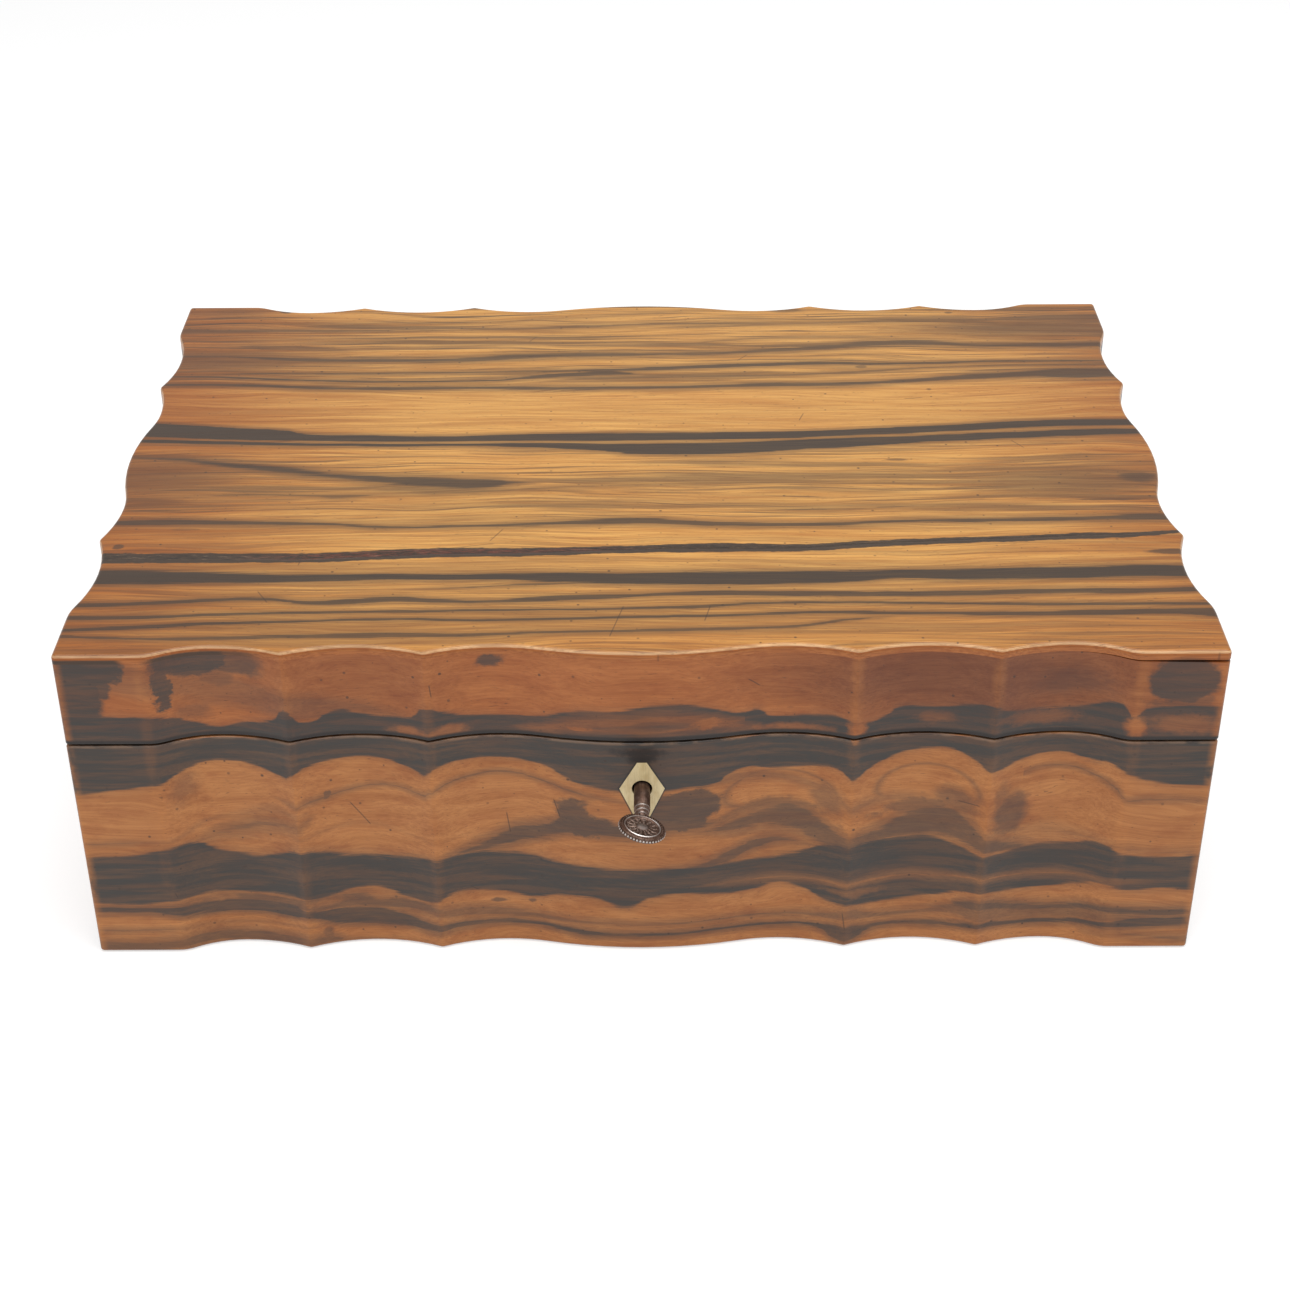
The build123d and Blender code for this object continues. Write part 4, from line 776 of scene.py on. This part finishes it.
def front_board_finish():
    """The front walls of base and lid: one board's figure that runs across the opening."""
    f = Finish("front_board_wood")
    inward = (f.y + half_depth).least(carving_depth)
    swell_height, swell_reach, dip = 54.0, 18.0, 1.7
    off_middle = (f.z - swell_height) / swell_reach
    swell = math.e ** (off_middle * off_middle * -1.0)
    sway = f.drift(2.2, (26.0, 26.0, 7.0), 3.0, 0.55)
    fray = f.drift(2.4, (12.0, 12.0, 0.7), 4.0, 0.62)
    blotch = f.drift(5.5, (4.5, 4.5, 3.0), 4.0, 0.66)
    level = f.z - swell * inward * dip
    board = Board(f, level + sway, front_floor, front_ceiling, fray, blotch, 2.0)

    def patches(table):
        return [board.patch(*values) for values in table]

    masks = [board.stripe(depth, edge, points) for depth, edge, points in front_stripes.values()]
    for lower, upper, edge, soft_edge, soft_depth in ((main_band_lower, main_band_upper, 0.8, 3.6, 0.55),
                                                      (rim_band_edge, lid_band_edge, 0.7, 3.0, 0.5)):
        masks += [board.between(edge, lower, upper), board.between(soft_edge, lower, upper) * soft_depth]
    masks += patches(front_patches.values())
    masks += [board.ring(*values) for values in front_rings]
    lights = [board.stripe(depth, edge, points) for depth, edge, points in front_lights.values()]
    lights += patches(front_light_patches.values())
    dark = darkest(masks) * (1.0 - darkest(lights))
    blackened = darkest(patches(front_soot) + [lozenge_outline(f) * 0.8])
    marks = dings(f, f.x, f.z).most(scratches(f, f.x, f.z, front_scratches) * 0.8)
    return carved_wall(f, 0, 11.0, front_ridges, dark, marks, blackened, darkest(patches(front_umber)))


def wild_board_finish(name, axis, inward_of, ridges, seed):
    """A side or back wall of the same wood, with a figure of its own that follows its carving."""
    f = Finish(name)
    along = (f.x, f.y)[axis]
    dip = 1.1
    level = f.z - inward_of(f).least(carving_depth) * dip
    bend = f.drift(34.0, (95.0, 60.0, 5.0), place=f.at(along, level, seed * 9.0))
    layers = f.at(along, level + bend, seed * 31.0)
    bands = f.cloud((420.0, 19.0, 9.0), place=layers)
    hairs = f.cloud((300.0, 4.2, 9.0), place=layers)
    fray = f.drift(0.03, (6.0, 6.0, 1.0), 2.0, 0.6)
    dark = (f.step(bands + fray, 0.49, 0.545) * 0.97).most(f.step(hairs + fray, 0.60, 0.66) * 0.7)
    return carved_wall(f, axis, seed, ridges, dark, dings(f, along, f.z))


def tray_lid_finish():
    """The small compartment lids: the striped wood in a finer figure."""
    f = Finish("tray_lid_wood")
    grains = grain(f, 0, 27.0)
    streaks = grains[1]
    bent = f.at(f.x, f.y + f.drift(10.0, (60.0, 40.0, 60.0)), 4.0)
    dark = f.spots(0.52, 0.57, (260.0, 6.5, 9.0), 3.0, 0.5, place=bent) * 0.95
    return polished_wood(f, f.mix(streaks, golden_wood, russet_wood), dark, grains, dings(f, f.x, f.y))


def lining_finish(name, axis, seed):
    """Plain straight grained wood of the tray, bearers and base board."""
    f = Finish(name)
    fibres, streaks, pores = grain(f, axis, seed)
    light = f.tint(f.step(streaks, 0.32, 0.70) * 0.6, lining_wood, lining_shade)
    light = f.tint(f.step(fibres, 0.40, 0.72) * 0.45, light, lining_fibres)
    light = f.mix(pores * 0.55, light, lining_pore)
    dust = f.spots(0.50, 0.72, (28.0, 28.0, 28.0), 4.0, 0.6) * 0.22
    light = f.mix(dust, light, lining_dust)
    normal = f.relief(1.0 - pores + fibres * 0.4, 0.07, 0.5)
    return f.surface(Base_Color=light, Roughness=0.46 + 0.14 * fibres + 0.06 * dust, Normal=normal)


def bone_finish():
    """Cream bone with fine upright grain lines and small dark pits."""
    f = Finish("aged_bone")
    cream, honey = (0.74, 0.60, 0.34, 1), (0.60, 0.45, 0.22, 1)
    grain_line, pit = (0.40, 0.31, 0.17, 1), (0.16, 0.10, 0.05, 1)
    fine = f.cloud((0.22, 0.22, 5.0), 2.0, 0.6)
    cloudy = f.cloud((3.0, 3.0, 7.0), 3.0, 0.6)
    specks = f.spots(0.68, 0.78, (0.18, 0.18, 1.3), 1.0, 0.5)
    colour = f.mix(f.step(cloudy, 0.35, 0.72), cream, honey)
    colour = f.mix(f.step(fine, 0.45, 0.75) * 0.35, colour, grain_line)
    colour = f.mix(specks * 0.5, colour, pit)
    normal = f.relief(fine - specks, 0.03, 0.4)
    return f.surface(Base_Color=colour, Roughness=0.32 + 0.14 * fine, Normal=normal,
                     Coat_Weight=0.15, Coat_Roughness=0.2)


def metal_finish(name, bright, tarnish, grime, size, patina, base_rough):
    """Old metal: a bright rubbed tone, a tarnished one over it in patches, and grime in the pits."""
    f = Finish(name)
    patches = f.cloud((size, size, size), 4.0, 0.62)
    fine = f.cloud((0.35, 0.35, 0.35), 3.0, 0.6)
    pits = f.spots(0.64, 0.76, (0.55, 0.55, 0.55))
    aged = f.step(patches + fine * 0.25, patina, patina + 0.22)
    colour = f.mix(aged, bright, tarnish)
    colour = f.mix(pits * 0.7, colour, grime)
    rough = base_rough + 0.22 * aged + 0.16 * fine + 0.2 * pits
    normal = f.relief(fine * 0.5 - pits, 0.04, 0.5)
    return f.surface(Base_Color=colour, Metallic=1.0 - 0.35 * pits, Roughness=rough, Normal=normal)


# The key's own frame: its barrel runs along z from the tip, its bit points to +x, and its bow lies across x.
key_turn = math.radians(-76)
key_tip = 105.0
key_seat = Matrix((
    (math.sin(key_turn), -math.cos(key_turn), 0, 0),
    (0, 0, -1, -key_tip),
    (math.cos(key_turn), math.sin(key_turn), 0, keyhole_height),
    (0, 0, 0, 1)))
bow_centre = 31.2
bow_half_width, bow_half_length = 7.0, 6.3
# The barrel and its collar as (radius, distance from the tip), from the foot of the bore to the neck.
barrel_outline = ((0, 8), (1.27, 8), (1.27, 0), (2.15, 0), (2.35, 0.25), (2.35, 21.3), (2.2, 21.45),
    (1.9, 21.6), (1.9, 21.9), (2.2, 22.0), (2.36, 22.2), (2.36, 22.5), (2.2, 22.75), (1.7, 22.95),
    (1.6, 23.5), (1.95, 23.65), (2.1, 23.85), (2.1, 24.1), (1.9, 24.35), (1.5, 24.5), (1.25, 25.2),
    (1.05, 26), (0, 26.2))
# The face of the bow as (distance in from the edge, height above the middle of the plate).
bow_outline = ((0.42, 0.30), (0.46, 0.62), (0.66, 0.8), (1.2, 0.82), (1.5, 0.84), (1.62, 1.0), (1.76, 1.07),
    (1.9, 1.0), (2.02, 0.7), (2.3, 0.5), (3.6, 0.46), (4.3, 0.5), (4.9, 0.78), (5.3, 0.86), (5.8, 0.98))
# The bit's middle and size, and how far its edges are eased.
bit_middle, bit_size, bit_ease = (3.2, 0, 3.25), (6.4, 1.5, 4.4), 0.22
# Rings of beads on the bow: the input that sets them, distance in from the edge, height on both faces.
bead_rings = (("Edge bead", 0.40, (0.0,)), ("Face bead", 0.52, (0.52, -0.52)),
    ("Face bead", 1.1, (0.80, -0.80)), ("Boss bead", 2.9, (0.46, -0.46)), ("Boss bead", 4.3, (0.50, -0.50)))
bead_sizes = {"Edge beads": 42, "Edge bead radius": 0.38, "Face beads": 42, "Face bead radius": 0.26,
    "Boss beads": 14, "Boss bead radius": 0.34}


def key_finish():
    """Brown patina with bright rubbed metal on the collar, the raised ring and the milled edge of the bow."""
    f = Finish("key_patina")
    ring_reach, petal_count = 0.735, 14.0
    lower_collar, upper_collar, bow_foot = 22.35, 23.98, 25.4
    sideways = f.x * math.sin(key_turn) + (f.z - keyhole_height) * math.cos(key_turn)
    distance = -key_tip - f.y
    on_bow = f.step(distance, 24.6, bow_foot)
    across, down = sideways / bow_half_width, (distance - bow_centre) / bow_half_length
    reach = f.vector("LENGTH", f.at(across, down))
    ring = f.step(abs(reach - ring_reach), 0.035, 0.012)
    edge = f.step(reach, 0.955, 0.985)
    boss = f.step(reach, 0.30, 0.10)
    collars = f.step(abs(distance - lower_collar), 0.35, 0.15).most(
        f.step(abs(distance - upper_collar), 0.32, 0.12))
    petals = (across.angle_to(down) * petal_count).sine() * 0.5 + 0.5
    petals = petals * f.step(reach, 0.24, 0.34) * f.step(reach, 0.70, 0.58) * on_bow
    patches = f.cloud((2.2, 2.2, 2.2), 4.0, 0.62)
    fine = f.cloud((0.30, 0.30, 0.30), 3.0, 0.6)
    drawn = f.cloud((0.35, 7.0, 0.35), 2.0, 0.55)
    pits = f.step(fine, 0.62, 0.74)
    rubbed = (ring.most(edge * 0.8).most(boss * 0.4) * on_bow).most(collars * 0.7)
    rubbed = rubbed * f.step(patches + fine * 0.3, 0.30, 0.62)

    deep_brown, brown = (0.105, 0.060, 0.042, 1), (0.190, 0.125, 0.098, 1)
    drawn_brown, petal_brown = (0.045, 0.026, 0.02, 1), (0.34, 0.27, 0.23, 1)
    pit_brown, shadow, bright = (0.018, 0.012, 0.010, 1), (0.012, 0.008, 0.007, 1), (0.66, 0.62, 0.59, 1)
    colour = f.mix(f.step(patches, 0.40, 0.66), deep_brown, brown)
    colour = f.mix(f.step(drawn, 0.42, 0.70) * 0.55, colour, drawn_brown)
    colour = f.mix(rubbed * 0.9, colour, bright)
    colour = f.mix(pits * 0.65 * (1.0 - rubbed * 0.7), colour, pit_brown)
    colour = f.mix(f.step(distance, 14.0, 9.0) * 0.7, colour, shadow)
    colour = f.mix(petals * 0.5, colour, petal_brown)
    rough = 0.40 - 0.16 * rubbed + 0.18 * fine + 0.16 * pits
    normal = f.relief(petals, 0.25, 0.8, f.relief(fine * 0.6 - pits, 0.05, 0.6))
    return f.surface(Base_Color=colour, Metallic=0.92, Roughness=rough, Normal=normal)


def circle(turns):
    """Cosine and sine of as many turns round a circle."""
    return [(math.cos(2 * math.pi * i / turns), math.sin(2 * math.pi * i / turns)) for i in range(turns)]


def bridge(mesh, rings, turns):
    """Faces between each ring and the next; a ring of one point closes the shape."""
    for low, high in zip(rings, rings[1:]):
        for i in range(turns):
            j = (i + 1) % turns
            if len(low) == 1:
                mesh.faces.new((low[0], high[i], high[j]))
            elif len(high) == 1:
                mesh.faces.new((low[i], high[0], low[j]))
            else:
                mesh.faces.new((low[i], high[i], high[j], low[j]))


def add_lathe(mesh, outline, turns):
    """A turned shape about z, closed at both ends on its axis."""
    rings = []
    for radius, height in outline:
        round_points = circle(turns) if radius else [(0, 0)]
        rings.append([mesh.verts.new((radius * c, radius * s, height)) for c, s in round_points])
    bridge(mesh, rings, turns)


def add_bow(mesh, turns):
    """The oval bow: both faces with their raised ring and boss, and the edge between them."""
    rings = [[mesh.verts.new((0, -1.0, bow_centre))]]
    front = [(inset, -height) for inset, height in reversed(bow_outline)]
    back = list(bow_outline)
    for inset, height in front + back:
        wide, long = bow_half_width - inset, bow_half_length - inset
        rings.append([mesh.verts.new((wide * c, height, bow_centre + long * s)) for c, s in circle(turns)])
    rings.append([mesh.verts.new((0, 1.0, bow_centre))])
    bridge(mesh, rings, turns)


def add_bit(mesh):
    """The bit, a thin plate with eased edges."""
    seat = Matrix.Translation(bit_middle) @ Matrix.Diagonal((*bit_size, 1))
    block = bmesh.ops.create_cube(mesh, size=1.0, matrix=seat)
    edges = {edge for corner in block["verts"] for edge in corner.link_edges}
    bmesh.ops.bevel(mesh, geom=list(edges), offset=bit_ease, segments=2, affect="EDGES")


def bead_ring_tree(finish):
    """Geometry Nodes that lay rings of beads on the bow; its inputs give their numbers and sizes."""
    tree = bpy.data.node_groups.new("rings_of_beads", "GeometryNodeTree")
    tree.interface.new_socket("Geometry", in_out="INPUT", socket_type="NodeSocketGeometry")
    for name in bead_sizes:
        kind = "NodeSocketFloat" if name.endswith("radius") else "NodeSocketInt"
        tree.interface.new_socket(name, in_out="INPUT", socket_type=kind)
    tree.interface.new_socket("Geometry", in_out="OUTPUT", socket_type="NodeSocketGeometry")

    graph = Graph(tree)
    start = graph.node("NodeGroupInput")
    parts = [start]
    for kind, inset, heights in bead_rings:
        for height in heights:
            oval = graph.node("GeometryNodeCurvePrimitiveCircle", {}, {"Resolution": 96, "Radius": 1.0})
            laid = graph.node("GeometryNodeTransform", {}, {
                "Geometry": oval, "Scale": (bow_half_width - inset, bow_half_length - inset, 1.0),
                "Rotation": (math.pi / 2, 0, 0), "Translation": (0, -height, bow_centre)})
            spread = graph.node("GeometryNodeCurveToPoints", {},
                                {"Curve": laid, "Count": start.also(kind + "s")}, "Points")
            bead = graph.node("GeometryNodeMeshIcoSphere", {},
                              {"Subdivisions": 2, "Radius": start.also(kind + " radius")}, "Mesh")
            parts.append(graph.node("GeometryNodeInstanceOnPoints", {}, {"Points": spread, "Instance": bead}))
    join = graph.node("GeometryNodeJoinGeometry", {}, {"Geometry": parts})
    real = graph.node("GeometryNodeRealizeInstances", {}, {"Geometry": join})
    paint = graph.node("GeometryNodeSetMaterial", {}, {"Geometry": real, "Material": finish})
    graph.node("NodeGroupOutput", {}, {"Geometry": paint})
    return tree


def make_key(finish):
    """The key as one detailed mesh: turned barrel, bit, and a bow with beaded edge and faces."""
    mesh = bmesh.new()
    add_lathe(mesh, barrel_outline, turns=48)
    add_bit(mesh)
    add_bow(mesh, turns=96)
    bmesh.ops.recalc_face_normals(mesh, faces=mesh.faces)
    plain = bpy.data.meshes.new("key_blank")
    mesh.to_mesh(plain)
    mesh.free()
    blank = bpy.data.objects.new("key_blank", plain)
    bpy.context.collection.objects.link(blank)
    rings = blank.modifiers.new("beads", "NODES")
    rings.node_group = bead_ring_tree(finish)
    for socket in rings.node_group.interface.items_tree:
        if socket.name in bead_sizes:
            rings[socket.identifier] = bead_sizes[socket.name]
    done = bpy.data.meshes.new_from_object(blank.evaluated_get(bpy.context.evaluated_depsgraph_get()))
    bpy.data.objects.remove(blank)
    done.transform(Matrix.Scale(mm, 4) @ key_seat)
    for face in done.polygons:
        face.use_smooth = True
    done.name = "turned_key"
    piece = bpy.data.objects.new("turned_key", done)
    bpy.context.collection.objects.link(piece)
    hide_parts("key")
    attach(piece, "key")


front_wood = front_board_finish()
top_wood = top_board_finish()
back_wood = wild_board_finish("back_board_wood", 0, lambda f: half_depth - f.y, front_ridges, 5.0)
left_wood = wild_board_finish("left_board_wood", 1, lambda f: f.x + half_width, side_ridges, 8.0)
right_wood = wild_board_finish("right_board_wood", 1, lambda f: half_width - f.x, side_ridges, 13.0)
tray_lid_wood = tray_lid_finish()
lining_x = lining_finish("lining_wood_lengthwise", 0, 21.0)
lining_y = lining_finish("lining_wood_crosswise", 1, 23.0)
bone = bone_finish()
brass = metal_finish("aged_brass", bright=(0.66, 0.44, 0.17, 1), tarnish=(0.30, 0.18, 0.07, 1),
                     grime=(0.06, 0.04, 0.02, 1), size=6.0, patina=0.52, base_rough=0.26)
steel = metal_finish("lock_steel", bright=(0.50, 0.47, 0.44, 1), tarnish=(0.150, 0.105, 0.080, 1),
                     grime=(0.03, 0.018, 0.014, 1), size=5.0, patina=0.46, base_rough=0.28)
key_metal = key_finish()

# Each finish with the endings of its nodes' names; a node that isn't here is brass.
by_ending = {
    front_wood: ("front_wall",), back_wood: ("back_wall",),
    left_wood: ("left_wall",), right_wood: ("right_wall",), top_wood: ("top_board",),
    tray_lid_wood: ("compartment_lid",), bone: ("knob", "escutcheon"),
    key_metal: ("key",), steel: ("bolt", "spring", "drill_pin"),
    lining_y: ("bearer_left", "bearer_right", "divider_left", "divider_right"),
    lining_x: ("base_board", "tray_floor", "long_divider_front", "long_divider_back"),
}


def finish_of(name):
    """The finish of a CAD node, by its name."""
    if name.startswith("tray_") and name.endswith("_wall"):
        return lining_y if "left" in name or "right" in name else lining_x
    for finish, endings in by_ending.items():
        if name.endswith(endings):
            return finish
    return brass


for name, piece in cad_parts.items():
    for place in piece.material_slots:
        place.material = finish_of(name)

make_key(key_metal)


def paint_world():
    """White seen behind the box, a paler one in its gloss, and a softer one that lights it."""
    soft_strength, white_strength, share_in_gloss = 0.42, 1.0, 0.4
    world = bpy.data.worlds.new("studio_white")
    bpy.context.scene.world = world
    world.use_nodes = True
    sky = Graph(world.node_tree)
    path = sky.node("ShaderNodeLightPath", output="Is Camera Ray")
    seen = sky.node("ShaderNodeMath", {"operation": "MULTIPLY_ADD", "use_clamp": True},
                    {0: path.also("Is Glossy Ray"), 1: share_in_gloss, 2: path})
    soft, white = [sky.node("ShaderNodeBackground", {}, {"Color": (1, 1, 1, 1), "Strength": strength})
                   for strength in (soft_strength, white_strength)]
    either = sky.node("ShaderNodeMixShader", {}, {0: seen, 1: soft, 2: white})
    sky.node("ShaderNodeOutputWorld", {}, {"Surface": either})


def floor_finish():
    """A pale floor that the camera sees as white and that still takes the box's shadow."""
    f = Finish("studio_floor")
    pale, glow_strength = (0.60, 0.60, 0.60, 1), 0.50
    path = f.node("ShaderNodeLightPath", output="Is Camera Ray")
    seen = path.most(path.also("Is Glossy Ray"))
    matt = f.node("ShaderNodeBsdfDiffuse", {}, {"Color": pale})
    glow = f.node("ShaderNodeEmission", {}, {"Color": (1, 1, 1, 1), "Strength": glow_strength})
    both = f.node("ShaderNodeAddShader", {}, {0: matt, 1: glow})
    f.close(f.node("ShaderNodeMixShader", {}, {0: seen, 1: matt, 2: both}))
    return f.material


def lay_floor():
    """A floor of 12 m square, just under the box so that the two faces don't meet."""
    mesh = bpy.data.meshes.new("studio_floor")
    reach = 6.0
    level = -0.0003
    corners = [(x * reach, y * reach, level) for x, y in ((-1, -1), (1, -1), (1, 1), (-1, 1))]
    mesh.from_pydata(corners, [], [(0, 1, 2, 3)])
    floor = bpy.data.objects.new("studio_floor", mesh)
    bpy.context.collection.objects.link(floor)
    mesh.materials.append(floor_finish())


def hang_lamp(name, place, aim, size, power):
    """A soft oblong lamp: its place, aim and size in metres, its power in watts."""
    lamp = bpy.data.lights.new(name, "AREA")
    lamp.shape = "RECTANGLE"
    lamp.size, lamp.size_y = size
    lamp.energy = power
    hung = bpy.data.objects.new(name, lamp)
    hung.location = place
    hung.rotation_euler = (Vector(aim) - Vector(place)).to_track_quat("-Z", "Y").to_euler()
    bpy.context.collection.objects.link(hung)


def set_camera():
    """The photograph's own viewpoint, with its place in metres."""
    place = (0.00254, -0.6545, 0.4529)
    yaw, pitch, roll = math.radians(0.154), math.radians(32.581), math.radians(-0.327)
    turn = Matrix.Rotation(yaw, 3, "Z")
    forward = turn @ Vector((0, math.cos(pitch), -math.sin(pitch)))
    right = turn @ Vector((1, 0, 0))
    up = right.cross(forward)
    right, up = (math.cos(roll) * right + math.sin(roll) * up, math.cos(roll) * up - math.sin(roll) * right)
    lens = bpy.data.cameras.new("photo_view")
    lens.lens = 63.93
    lens.sensor_width = 36.0
    lens.clip_start, lens.clip_end = 0.01, 50.0
    camera = bpy.data.objects.new("photo_view", lens)
    bpy.context.collection.objects.link(camera)
    rows = [(right[i], up[i], -forward[i], place[i]) for i in range(3)]
    camera.matrix_world = Matrix((*rows, (0, 0, 0, 1)))
    bpy.context.scene.camera = camera


paint_world()
lay_floor()
hang_lamp("overhead_softbox", place=(0.1, -0.35, 1.5), aim=(0, 0, 0.05), size=(1.6, 1.2), power=22.5)
hang_lamp("front_softbox", place=(-0.5, -1.6, 0.7), aim=(0, 0, 0.06), size=(1.2, 0.8), power=4.0)
set_camera()
bpy.context.scene.view_settings.view_transform = "Standard"
